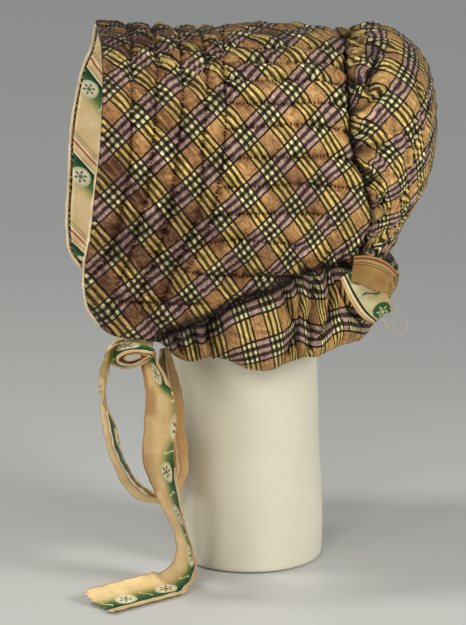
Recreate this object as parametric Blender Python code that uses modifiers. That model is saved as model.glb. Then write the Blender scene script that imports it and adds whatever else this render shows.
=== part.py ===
"""Quilted silk bonnet on a plain round stand, at its real size in metres.

The origin is the middle of the stand's base. The face opening looks along -Y, the side with
the bow (the wearer's left) is +X, and +Z is up.
"""

import math

import bpy
import numpy as np

COLLECTION = "quilted_bonnet_on_stand"

# Bonnet: overall sizes
LIFT = 0.2085
HEIGHT = 0.2200
HALF_WIDTH = 0.1050
SEAM_HALF_WIDTH = 0.0930
BRIM_DEPTH = 0.1865
FRONT_FORWARD = 0.1130
CROWN_DEPTH = 0.0755

# Bonnet: walls, seams and quilting
WADDING = 0.0050
EDGE_PRESS = 0.60
EDGE_REACH = 0.12
LINING = 0.0010
SEWN_GAP = 0.0004
LINING_GAP = 0.0013
BORDER = 0.0310
CHANNEL_PITCH = 0.0193
CHANNELS = 5
PUFF = 0.0019
REAR_PITCH = 0.0235
REAR_PUFF = 0.0012
PIPING = 0.0030

# Crown and neck frill
CROWN_WALL = 0.0020
CROWN_PUFF = 0.0060
GATHER = 0.0024
FRILL_WALL = 0.0018
FRILL_DROP = 0.0680
FRILL_BULGE = 0.0160
FRILL_START = 0.18
FRILL_GAP = 0.0012

# Ribbon ties and the turned-back piece of lining at the nape
RIBBON_WIDTH = 0.0380
RIBBON_WALL = 0.0010
TURNBACK_WIDTH = 0.0460

# Stand
STAND_RADIUS = 0.0580
STAND_GAP = 0.0008
STAND_SIDES = 32

# Steps of the meshes
BORDER_STEPS = 3
CHANNEL_STEPS = 4
REAR_STEPS = 5
LINING_ROWS = 7

# Front edge from the middle of the top (0) down to the lower corner (1):
# share of the way, across (of HALF_WIDTH), up (of HEIGHT), back (of BRIM_DEPTH)
FRONT_EDGE = [
    (0.00, 0.000, 1.018, -0.034),
    (0.12, 0.400, 1.002, -0.036),
    (0.25, 0.700, 0.940, -0.042),
    (0.38, 0.900, 0.832, -0.052),
    (0.50, 0.985, 0.692, -0.067),
    (0.62, 1.005, 0.540, -0.090),
    (0.74, 1.000, 0.387, -0.110),
    (0.85, 0.985, 0.243, -0.137),
    (0.92, 0.970, 0.147, -0.131),
    (0.97, 0.955, 0.089, -0.110),
    (1.00, 0.945, 0.047, -0.072),
]

# The far side's front edge sits otherwise than the near side's: share of the way from the
# top, how much further back (of BRIM_DEPTH)
FAR_EDGE = [
    (0.00, 0.000),
    (0.12, 0.014),
    (0.25, 0.027),
    (0.33, 0.024),
    (0.40, 0.002),
    (0.52, -0.019),
    (0.72, -0.014),
    (0.84, 0.003),
    (1.00, -0.010),
]

# Seam between brim and crown, from the top (0) to the nape corner (1): the same columns,
# across as a share of SEAM_HALF_WIDTH
CROWN_SEAM = [
    (0.00, 0.000, 0.962, 1.000),
    (0.15, 0.360, 0.947, 0.983),
    (0.30, 0.675, 0.885, 0.964),
    (0.45, 0.900, 0.780, 0.960),
    (0.60, 0.990, 0.640, 0.965),
    (0.72, 1.010, 0.515, 1.022),
    (0.85, 0.985, 0.392, 1.045),
    (1.00, 0.860, 0.227, 0.992),
]

# Ridge of the brim from front edge to seam: share of the way, up (of HEIGHT)
RIDGE = [
    (0.00, 1.018),
    (0.10, 1.014),
    (0.25, 1.004),
    (0.50, 0.999),
    (0.80, 0.998),
    (0.93, 0.984),
    (1.00, 0.962),
]

# Lower edge of the brim from front corner to nape corner: share of the way,
# across (of HALF_WIDTH), up (of HEIGHT), back (of BRIM_DEPTH)
LOWER_EDGE = [
    (0.05, 0.952, 0.018, -0.022),
    (0.11, 0.955, 0.003, 0.035),
    (0.18, 0.957, 0.002, 0.110),
    (0.27, 0.959, 0.030, 0.204),
    (0.35, 0.962, 0.046, 0.273),
    (0.44, 0.964, 0.076, 0.377),
    (0.50, 0.964, 0.114, 0.445),
    (0.58, 0.962, 0.142, 0.528),
    (0.67, 0.955, 0.168, 0.628),
    (0.77, 0.926, 0.208, 0.732),
    (0.88, 0.860, 0.234, 0.858),
]

# Middle of the crown's back, from the seam at the top to the nape: share of the way,
# up (of HEIGHT), out behind the seam (of CROWN_DEPTH)
CROWN_BACK = [
    (0.00, 0.962, 0.000),
    (0.05, 0.976, 0.124),
    (0.12, 0.987, 0.330),
    (0.20, 0.970, 0.517),
    (0.27, 0.939, 0.683),
    (0.34, 0.898, 0.803),
    (0.42, 0.839, 0.881),
    (0.51, 0.762, 0.931),
    (0.60, 0.671, 0.946),
    (0.70, 0.577, 0.928),
    (0.79, 0.485, 0.865),
    (0.87, 0.412, 0.768),
    (0.93, 0.343, 0.665),
    (0.97, 0.262, 0.552),
    (1.00, 0.189, 0.444),
]

# Nape edge from the middle (0) to the corner (1): across (of SEAM_HALF_WIDTH),
# up (of HEIGHT), out behind the seam (of CROWN_DEPTH)
NAPE_EDGE = [
    (0.00, 0.000, 0.189, 0.444),
    (0.25, 0.280, 0.191, 0.404),
    (0.50, 0.516, 0.200, 0.285),
    (0.75, 0.720, 0.216, 0.126),
]

# Frill from its front end to the middle of the nape: share of the way,
# drop (of FRILL_DROP), bulge (of FRILL_BULGE)
FRILL_PUFFS = [
    (0.00, 0.03, 0.05),
    (0.04, 0.10, 0.16),
    (0.09, 0.33, 0.50),
    (0.14, 0.45, 0.55),
    (0.19, 0.47, 0.15),
    (0.24, 0.60, 0.60),
    (0.32, 0.85, 0.95),
    (0.39, 0.95, 0.90),
    (0.44, 0.97, 0.28),
    (0.47, 0.99, 0.66),
    (0.50, 1.00, 0.25),
    (0.53, 1.04, 0.72),
    (0.57, 1.02, 0.30),
    (0.61, 0.96, 0.70),
    (0.66, 0.92, 0.60),
    (0.71, 0.85, 0.30),
    (0.78, 0.70, 0.40),
    (0.86, 0.56, 0.30),
    (0.93, 0.50, 0.45),
    (1.00, 0.48, 0.40),
]

# Stand: up (of its whole height), forward and radius (of STAND_RADIUS)
STAND_SECTIONS = [
    (0.000, 0.000, 0.990),
    (0.006, 0.000, 1.000),
    (0.250, 0.040, 0.995),
    (0.345, 0.055, 0.990),
    (0.395, 0.110, 1.030),
    (0.445, 0.155, 1.085),
    (0.700, 0.120, 1.085),
    (0.860, 0.080, 1.020),
    (0.930, 0.060, 0.860),
    (0.975, 0.045, 0.600),
    (1.000, 0.035, 0.250),
]

# Ribbon paths. Columns: out (of HALF_WIDTH), back from the front edge (of BRIM_DEPTH),
# up (of LIFT), width (of RIBBON_WIDTH), turn of the width about the run, in degrees.
# At a turn of 0 the ribbon's width lies as near as it can to straight out from the side.
STUB = [
    (0.8790, 0.080, 1.130, 0.50, 90),
    (0.8795, 0.080, 1.060, 0.50, 90),
    (0.8930, 0.082, 0.978, 0.50, 90),
]
KNOT = [
    (0.935, 0.137, 0.960, 0.40, 0),
    (0.935, 0.070, 0.972, 0.46, 0),
    (0.935, 0.005, 0.965, 0.50, 0),
    (0.935, -0.027, 0.941, 0.50, 0),
    (0.935, -0.027, 0.913, 0.48, 0),
    (0.935, 0.005, 0.894, 0.46, 0),
    (0.935, 0.054, 0.892, 0.44, 0),
    (0.935, 0.099, 0.909, 0.40, 0),
    (0.935, 0.134, 0.933, 0.34, 0),
]
LOOP = [
    (0.935, 0.022, 0.990, 0.50, 0),
    (0.935, -0.015, 0.983, 0.52, 4),
    (0.938, -0.042, 0.956, 0.56, 12),
    (0.943, -0.053, 0.905, 0.62, 20),
    (0.948, -0.064, 0.840, 0.72, 18),
    (0.952, -0.066, 0.776, 0.85, 4),
    (0.952, -0.052, 0.715, 0.95, -10),
    (0.950, -0.036, 0.650, 1.00, -14),
    (0.933, -0.023, 0.587, 1.00, -14),
    (0.886, 0.006, 0.516, 1.00, -16),
    (0.762, 0.047, 0.442, 1.00, -20),
    (0.600, 0.100, 0.368, 1.00, -28),
    (0.500, 0.156, 0.327, 1.00, -33),
    (0.467, 0.213, 0.324, 1.00, -35),
    (0.476, 0.247, 0.376, 1.00, -35),
    (0.533, 0.249, 0.464, 1.00, -35),
    (0.610, 0.232, 0.562, 1.00, -35),
    (0.667, 0.226, 0.680, 0.95, -35),
    (0.670, 0.212, 0.785, 0.80, -35),
    (0.655, 0.202, 0.870, 0.58, -32),
    (0.640, 0.200, 0.918, 0.46, -30),
]
TAIL = [
    (0.838, 0.1255, 0.932, 0.42, -38),
    (0.852, 0.132, 0.885, 0.52, -40),
    (0.892, 0.150, 0.835, 0.66, -42),
    (0.925, 0.168, 0.780, 0.80, -40),
    (0.962, 0.172, 0.700, 0.95, -36),
    (0.970, 0.164, 0.610, 1.00, -32),
    (0.967, 0.165, 0.520, 1.00, -36),
    (0.943, 0.192, 0.423, 1.00, -30),
    (0.914, 0.219, 0.335, 1.00, -22),
    (0.876, 0.248, 0.258, 1.00, -16),
    (0.829, 0.277, 0.182, 1.00, -14),
    (0.795, 0.288, 0.112, 1.00, -18),
    (0.785, 0.270, 0.055, 1.00, -18),
    (0.815, 0.225, 0.026, 1.00, -12),
    (0.870, 0.180, 0.0235, 1.00, -11),
    (0.950, 0.108, 0.0235, 1.00, -11),
    (1.083, -0.010, 0.0235, 1.00, -11),
    (1.210, -0.122, 0.0235, 1.00, -11),
]
FAR_TIE = [
    (-0.890, 0.080, 1.130, 0.50, 0),
    (-0.890, 0.080, 1.060, 0.50, 0),
    (-0.870, 0.080, 1.005, 0.55, 0),
    (-0.780, 0.080, 0.975, 0.60, 6),
    (-0.500, 0.078, 0.948, 0.62, 12),
    (0.000, 0.076, 0.928, 0.62, 12),
    (0.500, 0.078, 0.942, 0.58, 6),
    (0.870, 0.080, 0.958, 0.36, 0),
]

# Turned-back lining at the nape: the same columns, width of TURNBACK_WIDTH. At a turn of 0
# its width lies along TURNBACK_LIES.
TURNBACK = [
    (0.882, 0.966, 1.224, 0.46, 0),
    (0.896, 1.012, 1.159, 0.58, 0),
    (0.884, 1.060, 1.091, 0.58, 0),
    (0.844, 1.102, 1.035, 0.40, 0),
]
FLAP = [
    (0.903, 0.968, 1.234, 0.44, 0),
    (0.925, 1.025, 1.228, 0.52, 0),
    (0.938, 1.086, 1.205, 0.52, 0),
    (0.928, 1.142, 1.173, 0.40, 0),
]
TURNBACK_LIES = (0.00, 0.84, 0.54)
FLAP_LIES = (0.10, 0.45, 0.88)

COLOURS = {
    "stand_ivory": (0.610, 0.565, 0.430, 1.0),
    "plaid_silk": (0.300, 0.165, 0.075, 1.0),
    "printed_lining": (0.560, 0.400, 0.215, 1.0),
    "ribbon": (0.600, 0.450, 0.260, 1.0),
    "piping": (0.620, 0.490, 0.300, 1.0),
}


def clear_scene():
    for thing in list(bpy.data.objects):
        bpy.data.objects.remove(thing, do_unlink=True)


def make_material(name, roughness=0.6):
    material = bpy.data.materials.new(name)
    material.use_nodes = True
    shader = material.node_tree.nodes["Principled BSDF"]
    shader.inputs["Base Color"].default_value = COLOURS[name]
    shader.inputs["Roughness"].default_value = roughness
    shader.inputs["Metallic"].default_value = 0.0
    material.diffuse_color = COLOURS[name]
    return material


def read_table(rows, at):
    """The columns after the first, on a smooth curve through the rows, at the given shares."""
    table = np.array(rows, float)
    knots, values = table[:, 0], table[:, 1:]
    slopes = np.gradient(values, knots, axis=0)
    at = np.clip(np.asarray(at, float), knots[0], knots[-1])
    cell = np.clip(np.searchsorted(knots, at, side="right") - 1, 0, len(knots) - 2)
    span = (knots[cell + 1] - knots[cell])[..., None]
    t = (at - knots[cell])[..., None] / span
    start, end = values[cell], values[cell + 1]
    leave, arrive = slopes[cell] * span, slopes[cell + 1] * span
    return (
        start * (1 + 2 * t) * (1 - t) ** 2
        + leave * t * (1 - t) ** 2
        + end * t * t * (3 - 2 * t)
        + arrive * t * t * (t - 1)
    )


def both_sides(rows):
    """An arch from the far side (-1) over the top to the near side (1), across being mirrored."""
    far = [(-row[0], -row[1]) + tuple(row[2:]) for row in rows[:0:-1]]
    return far + list(rows)


def in_metres(shares, half_width):
    """Points from columns across, up and back."""
    across, up, back = shares[..., 0], shares[..., 1], shares[..., 2]
    return np.stack(
        [across * half_width, back * BRIM_DEPTH - FRONT_FORWARD, LIFT + up * HEIGHT], axis=-1
    )


def front_edge(u):
    shares = read_table(both_sides(FRONT_EDGE), u)
    pulled = read_table(FAR_EDGE, np.abs(u))[..., 0]
    shares[..., 2] += np.where(np.asarray(u) < 0, pulled, 0.0)
    return in_metres(shares, HALF_WIDTH)


def crown_seam(u):
    return in_metres(read_table(both_sides(CROWN_SEAM), u), SEAM_HALF_WIDTH)


def ridge(v):
    up = read_table(RIDGE, v)[..., 0]
    back = v + (1 - v) * FRONT_EDGE[0][3]
    return in_metres(np.stack([0 * up, up, back], axis=-1), HALF_WIDTH)


def lower_edge(v):
    """The near side's lower edge of the brim, from the front corner to the nape corner."""
    corners = np.array([front_edge(1.0), crown_seam(1.0)])
    middle = in_metres(np.array(LOWER_EDGE)[:, 1:], HALF_WIDTH)
    points = np.vstack([corners[:1], middle, corners[1:]])
    shares = [0.0] + [row[0] for row in LOWER_EDGE] + [1.0]
    return read_table(np.column_stack([shares, points]), v)


def brim_base(u, v):
    """The brim's smooth form, a patch between its front edge, seam, ridge and lower edges."""
    u, v = np.broadcast_arrays(np.asarray(u, float), np.asarray(v, float))
    t = v[..., None]
    side = np.stack([np.where(u < 0, -1.0, 1.0), np.ones_like(u), np.ones_like(u)], axis=-1)
    down = np.abs(u)[..., None]
    lower_share = down * down * (3 - 2 * down)
    across = (1 - t) * front_edge(u) + t * crown_seam(u)
    top_line = (1 - t) * front_edge(0.0) + t * crown_seam(0.0)
    low_line = (1 - t) * front_edge(1.0) + t * crown_seam(1.0)
    top_shift = ridge(v) - top_line
    low_shift = (lower_edge(v) - low_line) * side
    return across + (1 - lower_share) * top_shift + lower_share * low_shift


def outward(surface, u, v, step=0.004):
    """Unit normals of a surface whose u runs to the near side and v to the back."""
    u, v = np.broadcast_arrays(np.asarray(u, float), np.asarray(v, float))
    along_u = surface(np.clip(u + step, -1, 1), v) - surface(np.clip(u - step, -1, 1), v)
    along_v = surface(u, np.clip(v + step, 0, 1)) - surface(u, np.clip(v - step, 0, 1))
    normal = np.cross(along_u, along_v)
    length = np.linalg.norm(normal, axis=-1, keepdims=True)
    return normal / np.maximum(length, 1e-12)


def quilt_relief(u, v):
    """How far the wadding stands out between the stitched lines."""
    back = v * BRIM_DEPTH
    lines_end = BORDER + (CHANNELS - 1) * CHANNEL_PITCH
    border = np.clip(back / BORDER, 0, 1)
    channel = np.clip((back - BORDER) / CHANNEL_PITCH, 0, None) % 1.0
    front = np.where(back < BORDER, border, channel)
    front_puff = PUFF * np.sin(math.pi * front) ** 0.8
    rear_wave = np.abs(np.sin(math.pi * u * side_length() / REAR_PITCH / 2))
    behind = back - lines_end
    ends = np.clip(behind / (REAR_PITCH / 2), 0, 1) * np.clip((1 - v) / 0.06, 0, 1)
    rear_puff = REAR_PUFF * rear_wave * ends
    return np.where(behind < 0, front_puff, rear_puff)


def side_length():
    """Length of the brim's arch from the middle of the top to a lower edge."""
    points = brim_base(np.linspace(0, 1, 40), 0.6)
    return np.linalg.norm(np.diff(points, axis=0), axis=1).sum()


def wadding_at(v):
    """Thickness of the wadded wall, pressed flat towards the front edge."""
    return WADDING * (EDGE_PRESS + (1 - EDGE_PRESS) * np.clip(v / EDGE_REACH, 0, 1))


def brim_columns():
    """Two steps of the mesh to each rear channel, over both sides."""
    return 4 * round(side_length() / REAR_PITCH) + 1


def brim_layer(u, v, depth, quilted=False):
    relief = quilt_relief(u, v) if quilted else 0 * u
    return brim_base(u, v) + outward(brim_base, u, v) * (relief - depth)[..., None]


def crown_base(u, v):
    """The crown's puffed bag: v runs from the seam over the back to the nape edge."""
    u, v = np.broadcast_arrays(np.asarray(u, float), np.asarray(v, float))
    t = v[..., None]
    down = np.abs(u)
    corner = crown_seam(1.0)
    rows = [(share,) + tuple(nape_point(*columns)) for share, *columns in NAPE_EDGE]
    rows.append((1.0,) + tuple(corner))
    nape = read_table(both_sides(rows), u)
    middle = read_table(
        [(share,) + tuple(nape_point(0, up, out)) for share, up, out in CROWN_BACK], v
    )
    seam_mid = crown_seam(0.0)
    nape_mid = nape_point(*NAPE_EDGE[0][1:])
    shift = middle - ((1 - t) * seam_mid + t * nape_mid)
    fade = np.cos(math.pi / 2 * down)[..., None] ** 1.1
    return (1 - t) * crown_seam(u) + t * nape + fade * shift


def nape_point(across, up, out):
    return np.array(
        [
            across * SEAM_HALF_WIDTH,
            BRIM_DEPTH - FRONT_FORWARD + out * CROWN_DEPTH,
            LIFT + up * HEIGHT,
        ]
    )


def crown_surface(u, v):
    puff = CROWN_PUFF * np.sin(math.pi * v) ** 0.6 * np.sin(math.pi * np.abs(u)) ** 0.8
    folds = np.cos(math.pi * (crown_columns() - 1) / 2 * (u + 1))
    depth = GATHER * np.exp(-v / 0.22) * (1 - np.exp(-v / 0.05))
    depth = depth * np.clip((1 - np.abs(u)) / 0.15, 0, 1)
    return crown_base(u, v) + outward(crown_base, u, v) * (puff + folds * depth)[..., None]


def crown_columns():
    return 49


def grid_mesh(name, grid, material, flip=False):
    """One open sheet of quads from rows of points."""
    rows, columns = grid.shape[:2]
    quads = []
    for i in range(rows - 1):
        for j in range(columns - 1):
            a = i * columns + j
            quad = (a, a + 1, a + columns + 1, a + columns)
            quads.append(quad[::-1] if flip else quad)
    mesh = bpy.data.meshes.new(name)
    mesh.from_pydata(grid.reshape(-1, 3).tolist(), [], quads)
    mesh.materials.append(material)
    return mesh


def add_object(name, mesh, smooth=True):
    thing = bpy.data.objects.new(name, mesh)
    bpy.data.collections[COLLECTION].objects.link(thing)
    if smooth:
        mesh.shade_smooth()
    return thing


def cloth(name, grid, wall, material, offset=-1.0, flip=False):
    """A sheet of cloth: the grid's face is outermost when offset is -1."""
    thing = add_object(name, grid_mesh(name, grid, material, flip))
    weld = thing.modifiers.new("Weld", "WELD")
    weld.merge_threshold = 0.00002
    thick = thing.modifiers.new("Solidify", "SOLIDIFY")
    thick.thickness = wall
    thick.offset = offset
    return thing


def zip_edges(first, second, shares_first, shares_second):
    """Triangles between two open rows of vertices with unequal counts."""
    faces = []
    i = j = 0
    while i < len(first) - 1 or j < len(second) - 1:
        take_first = j == len(second) - 1 or (
            i < len(first) - 1 and shares_first[i + 1] <= shares_second[j + 1] + 1e-9
        )
        if take_first:
            faces.append((first[i], first[i + 1], second[j]))
            i += 1
        else:
            faces.append((first[i], second[j + 1], second[j]))
            j += 1
    return faces


def make_brim(material):
    """Silk over wadding: a quilted outer face and a smooth inner face, joined round the edges."""
    columns = brim_columns()
    u = np.linspace(1, -1, columns)
    behind_seam = 1 - SEWN_GAP / BRIM_DEPTH
    lines = [0.0, BORDER] + [BORDER + (k + 1) * CHANNEL_PITCH for k in range(CHANNELS - 1)]
    stations = list(np.linspace(0, BORDER, BORDER_STEPS + 1)[:-1])
    for start, end in zip(lines[1:], lines[2:]):
        stations += list(np.linspace(start, end, CHANNEL_STEPS + 1)[:-1])
    v_outer = np.array(stations) / BRIM_DEPTH
    v_rear = np.linspace(lines[-1] / BRIM_DEPTH, behind_seam, REAR_STEPS + 1)
    v_outer = np.concatenate([v_outer, v_rear])
    v_inner = np.linspace(0, behind_seam, LINING_ROWS)
    outer = brim_layer(*np.meshgrid(u, v_outer), 0.0, quilted=True)
    inner_u, inner_v = np.meshgrid(u, v_inner)
    inner = brim_layer(inner_u, inner_v, wadding_at(inner_v))
    rows_out, rows_in = len(v_outer), len(v_inner)
    shift = rows_out * columns
    faces = []
    for i in range(rows_out - 1):
        for j in range(columns - 1):
            a = i * columns + j
            faces.append((a, a + columns, a + columns + 1, a + 1))
    for i in range(rows_in - 1):
        for j in range(columns - 1):
            a = shift + i * columns + j
            faces.append((a, a + 1, a + columns + 1, a + columns))
    last_out, last_in = (rows_out - 1) * columns, shift + (rows_in - 1) * columns
    for j in range(columns - 1):
        faces.append((j, j + 1, shift + j + 1, shift + j))
        faces.append((last_out + j + 1, last_out + j, last_in + j, last_in + j + 1))
    for j, turned in ((0, True), (columns - 1, False)):
        first = [i * columns + j for i in range(rows_out)]
        second = [shift + i * columns + j for i in range(rows_in)]
        strip = zip_edges(first, second, v_outer, v_inner)
        faces += [face[::-1] if turned else face for face in strip]
    mesh = bpy.data.meshes.new("brim")
    points = np.vstack([outer.reshape(-1, 3), inner.reshape(-1, 3)])
    mesh.from_pydata(points.tolist(), [], faces)
    mesh.materials.append(material)
    return add_object("brim", mesh)


def make_lining(material):
    """The printed silk inside the brim."""
    u, v = np.meshgrid(np.linspace(0.985, -0.985, 29), np.linspace(0.004, 0.970, LINING_ROWS + 1))
    grid = brim_layer(u, v, wadding_at(v) + LINING_GAP)
    return cloth("brim_lining", grid, LINING, material, flip=True)


def make_piping(material):
    """A fine cord in cream silk along the front edge and round each lower corner."""
    u = np.linspace(-1, 1, brim_columns())
    front = brim_layer(u, 0 * u, wadding_at(0.0) / 2)
    forward = np.cross(outward(brim_base, u, 0 * u), np.gradient(front, axis=0))
    forward /= np.linalg.norm(forward, axis=1, keepdims=True)
    behind = brim_base(u, 0 * u + 0.03) - brim_base(u, 0 * u)
    forward[np.sum(forward * behind, axis=1) > 0] *= -1
    points = front + forward * (PIPING / 2 + SEWN_GAP)
    curve = bpy.data.curves.new("brim_piping", "CURVE")
    curve.dimensions = "3D"
    curve.bevel_depth = PIPING / 2
    curve.bevel_resolution = 1
    curve.use_fill_caps = True
    spline = curve.splines.new("POLY")
    spline.points.add(len(points) - 1)
    for place, point in zip(spline.points, points):
        place.co = (*point, 1.0)
    curve.materials.append(material)
    thing = bpy.data.objects.new("brim_piping", curve)
    bpy.data.collections[COLLECTION].objects.link(thing)
    return thing


def make_crown(material):
    u = np.linspace(1, -1, crown_columns())
    v = np.array([0.0, 0.04, 0.09, 0.16, 0.25, 0.36, 0.48, 0.60, 0.72, 0.83, 0.92, 1.0])
    grid = crown_surface(*np.meshgrid(u, v))
    grid[:, 0] = grid[0, 0]
    grid[:, -1] = grid[0, -1]
    return cloth("crown", grid, CROWN_WALL, material, flip=True)


def frill_path(steps):
    """Points under the lower edges and the nape, near front end to far front end."""
    v = np.linspace(FRILL_START, 1, 60)
    outer = brim_layer(1 + 0 * v, v, 0 * v, quilted=True)
    inner = brim_layer(1 + 0 * v, v, wadding_at(v))
    side = (outer + inner) / 2
    side[:, 2] = np.minimum(outer[:, 2], inner[:, 2])
    nape = crown_base(np.linspace(1, 0, 30)[1:], 1.0)
    half = np.vstack([side, nape])
    run = np.concatenate([[0], np.cumsum(np.linalg.norm(np.diff(half, axis=0), axis=1))])
    share = np.linspace(0, 1, steps)
    near = np.column_stack([np.interp(share * run[-1], run, half[:, k]) for k in range(3)])
    far = near[-2::-1] * (-1, 1, 1)
    return np.vstack([near, far]), np.concatenate([share, share[-2::-1]])


def make_frill(material):
    """The neck frill: a gathered band that puffs out below the lower edge and turns under."""
    path, share = frill_path(44)
    run = np.gradient(path, axis=0)
    out = np.column_stack([run[:, 1], -run[:, 0], 0 * run[:, 0]])
    out /= np.linalg.norm(out, axis=1, keepdims=True)
    out[np.sum(out * path, axis=1) < 0] *= -1
    columns = read_table(FRILL_PUFFS, share)
    drop = columns[:, 0] * FRILL_DROP
    bulge = columns[:, 1] * FRILL_BULGE
    angles = np.radians([0, 28, 58, 90, 122, 152, 186])
    rows = []
    for angle in angles:
        down = drop * (1 - math.cos(angle)) / 2 + FRILL_GAP
        push = bulge * math.sin(angle)
        rows.append(path + out * push[:, None] - np.array([0, 0, 1]) * down[:, None])
    return cloth("neck_frill", np.array(rows), FRILL_WALL, material, flip=True)


def ribbon_points(rows):
    table = np.array(rows, float)
    x = table[:, 0] * HALF_WIDTH
    y = table[:, 1] * BRIM_DEPTH - FRONT_FORWARD
    z = table[:, 2] * LIFT
    chord = np.linalg.norm(np.diff(np.column_stack([x, y, z]), axis=0), axis=1)
    run = np.concatenate([[0], np.cumsum(chord)])
    return np.column_stack([run / run[-1], x, y, z, table[:, 3], table[:, 4]])


def ribbon(name, rows, material, steps, curl=0.0, cut=RIBBON_WIDTH, lies=(1.0, 0.0, 0.0)):
    """A flat strip of width cut along a path. A turn of 0 puts its width along lies."""
    values = read_table(ribbon_points(rows), np.linspace(0, 1, steps))
    path, width, turn = values[:, :3], values[:, 3] * cut, np.radians(values[:, 4])
    run = np.gradient(path, axis=0)
    run /= np.linalg.norm(run, axis=1, keepdims=True)
    side = np.array(lies) - run * (run @ np.array(lies))[:, None]
    side /= np.linalg.norm(side, axis=1, keepdims=True)
    face = np.cross(run, side)
    across = side * np.cos(turn)[:, None] + face * np.sin(turn)[:, None]
    normal = np.cross(run, across)
    lines = []
    for share in (-0.5, -0.17, 0.17, 0.5):
        bow = curl * (4 * share * share - 0.5)
        lines.append(path + across * (share * width)[:, None] + normal * (bow * width)[:, None])
    return cloth(name, np.array(lines), RIBBON_WALL, material, offset=0.0)


def make_stand(material):
    """A plain round column that carries the bonnet inside the top of its lining."""
    inside = brim_base(0.0, 0.5)[2] - WADDING - LINING_GAP - LINING - STAND_GAP
    angles = np.linspace(0, 2 * math.pi, STAND_SIDES, endpoint=False)
    points, faces = [], []
    for up, forward, radius in STAND_SECTIONS:
        for angle in angles:
            x = radius * STAND_RADIUS * math.cos(angle)
            y = radius * STAND_RADIUS * math.sin(angle) - forward * STAND_RADIUS
            points.append((x, y, up * inside))
    for ring in range(len(STAND_SECTIONS) - 1):
        for k in range(STAND_SIDES):
            a, b = ring * STAND_SIDES + k, ring * STAND_SIDES + (k + 1) % STAND_SIDES
            faces.append((a, b, b + STAND_SIDES, a + STAND_SIDES))
    last = (len(STAND_SECTIONS) - 1) * STAND_SIDES
    faces.append(tuple(range(STAND_SIDES))[::-1])
    faces.append(tuple(range(last, last + STAND_SIDES)))
    mesh = bpy.data.meshes.new("stand")
    mesh.from_pydata(points, [], faces)
    mesh.materials.append(material)
    return add_object("stand", mesh)


def main():
    clear_scene()
    collection = bpy.data.collections.new(COLLECTION)
    bpy.context.scene.collection.children.link(collection)
    silk = make_material("plaid_silk", 0.55)
    print_silk = make_material("printed_lining", 0.50)
    ribbon_silk = make_material("ribbon", 0.50)
    make_stand(make_material("stand_ivory", 0.85))
    make_brim(silk)
    make_lining(print_silk)
    make_piping(make_material("piping", 0.6))
    make_crown(silk)
    make_frill(silk)
    ribbon("tie_stub", STUB, ribbon_silk, 5)
    ribbon("tie_knot", KNOT, ribbon_silk, 22)
    ribbon("tie_loop", LOOP, ribbon_silk, 34, curl=0.05)
    ribbon("tie_tail", TAIL, ribbon_silk, 34, curl=0.08)
    ribbon("far_tie", FAR_TIE, ribbon_silk, 20, lies=(0.0, 1.0, 0.0))
    ribbon("nape_turnback", TURNBACK, print_silk, 8, cut=TURNBACK_WIDTH, lies=TURNBACK_LIES)
    ribbon("nape_flap", FLAP, print_silk, 7, cut=TURNBACK_WIDTH, lies=FLAP_LIES)


main()
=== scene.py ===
"""Looks of the quilted bonnet on its plain stand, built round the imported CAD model."""
import math

import bpy
import numpy as np
from mathutils import Matrix, Vector


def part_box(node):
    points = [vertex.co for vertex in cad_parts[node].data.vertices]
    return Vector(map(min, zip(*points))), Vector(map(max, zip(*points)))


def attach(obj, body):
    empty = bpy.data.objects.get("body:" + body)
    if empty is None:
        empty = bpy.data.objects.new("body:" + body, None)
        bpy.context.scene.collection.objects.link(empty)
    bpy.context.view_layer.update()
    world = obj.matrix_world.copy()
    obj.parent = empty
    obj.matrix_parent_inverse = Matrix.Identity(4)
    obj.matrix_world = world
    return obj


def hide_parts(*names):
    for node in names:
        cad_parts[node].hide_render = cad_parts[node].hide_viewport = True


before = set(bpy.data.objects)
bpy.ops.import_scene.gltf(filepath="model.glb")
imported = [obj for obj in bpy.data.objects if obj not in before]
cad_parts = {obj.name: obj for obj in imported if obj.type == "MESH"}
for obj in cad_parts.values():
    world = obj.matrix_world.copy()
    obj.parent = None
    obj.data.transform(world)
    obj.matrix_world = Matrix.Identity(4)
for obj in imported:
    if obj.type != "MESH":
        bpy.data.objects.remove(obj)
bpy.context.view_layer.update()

# Room: a pale seamless floor that darkens with distance under the lamps, with painted light and
# shade in its colour, a large soft light from the right, two weaker ones in front, one high on
# the left that throws the stand's shadow to the right, and the camera 2.5 m from the stand, a
# little in front of its side.
LOOKS_DOWN = math.radians(14.2706)
HEADING = math.radians(83.3176)
PIXEL_FOCUS = 3224.92
PICTURE_ROWS = 625


def look_at(thing, place, target):
    """Puts a camera or lamp at a place with its -Z axis on the target."""
    turn = (Vector(place) - Vector(target)).to_track_quat("Z", "Y")
    thing.matrix_world = Matrix.Translation(place) @ turn.to_matrix().to_4x4()


def linear(red, green, blue):
    """A colour as picture values of 0 to 255, in linear light."""
    shares = [value / 255 for value in (red, green, blue)]
    return tuple(s / 12.92 if s < 0.04045 else ((s + 0.055) / 1.055) ** 2.4 for s in shares) + (1.0,)


def make_camera():
    data = bpy.data.cameras.new("photo_camera")
    data.sensor_fit = "VERTICAL"
    data.sensor_height = 36.0
    data.lens = PIXEL_FOCUS * data.sensor_height / PICTURE_ROWS
    data.clip_end = 30.0
    camera = bpy.data.objects.new("photo_camera", data)
    bpy.context.scene.collection.objects.link(camera)
    bpy.context.scene.camera = camera
    place = Vector((2.48136538, -0.30467336, 0.8364883))
    ahead = Vector((
        -math.sin(HEADING) * math.cos(LOOKS_DOWN),
        math.cos(HEADING) * math.cos(LOOKS_DOWN),
        -math.sin(LOOKS_DOWN),
    ))
    look_at(camera, place, place + ahead)


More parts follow.
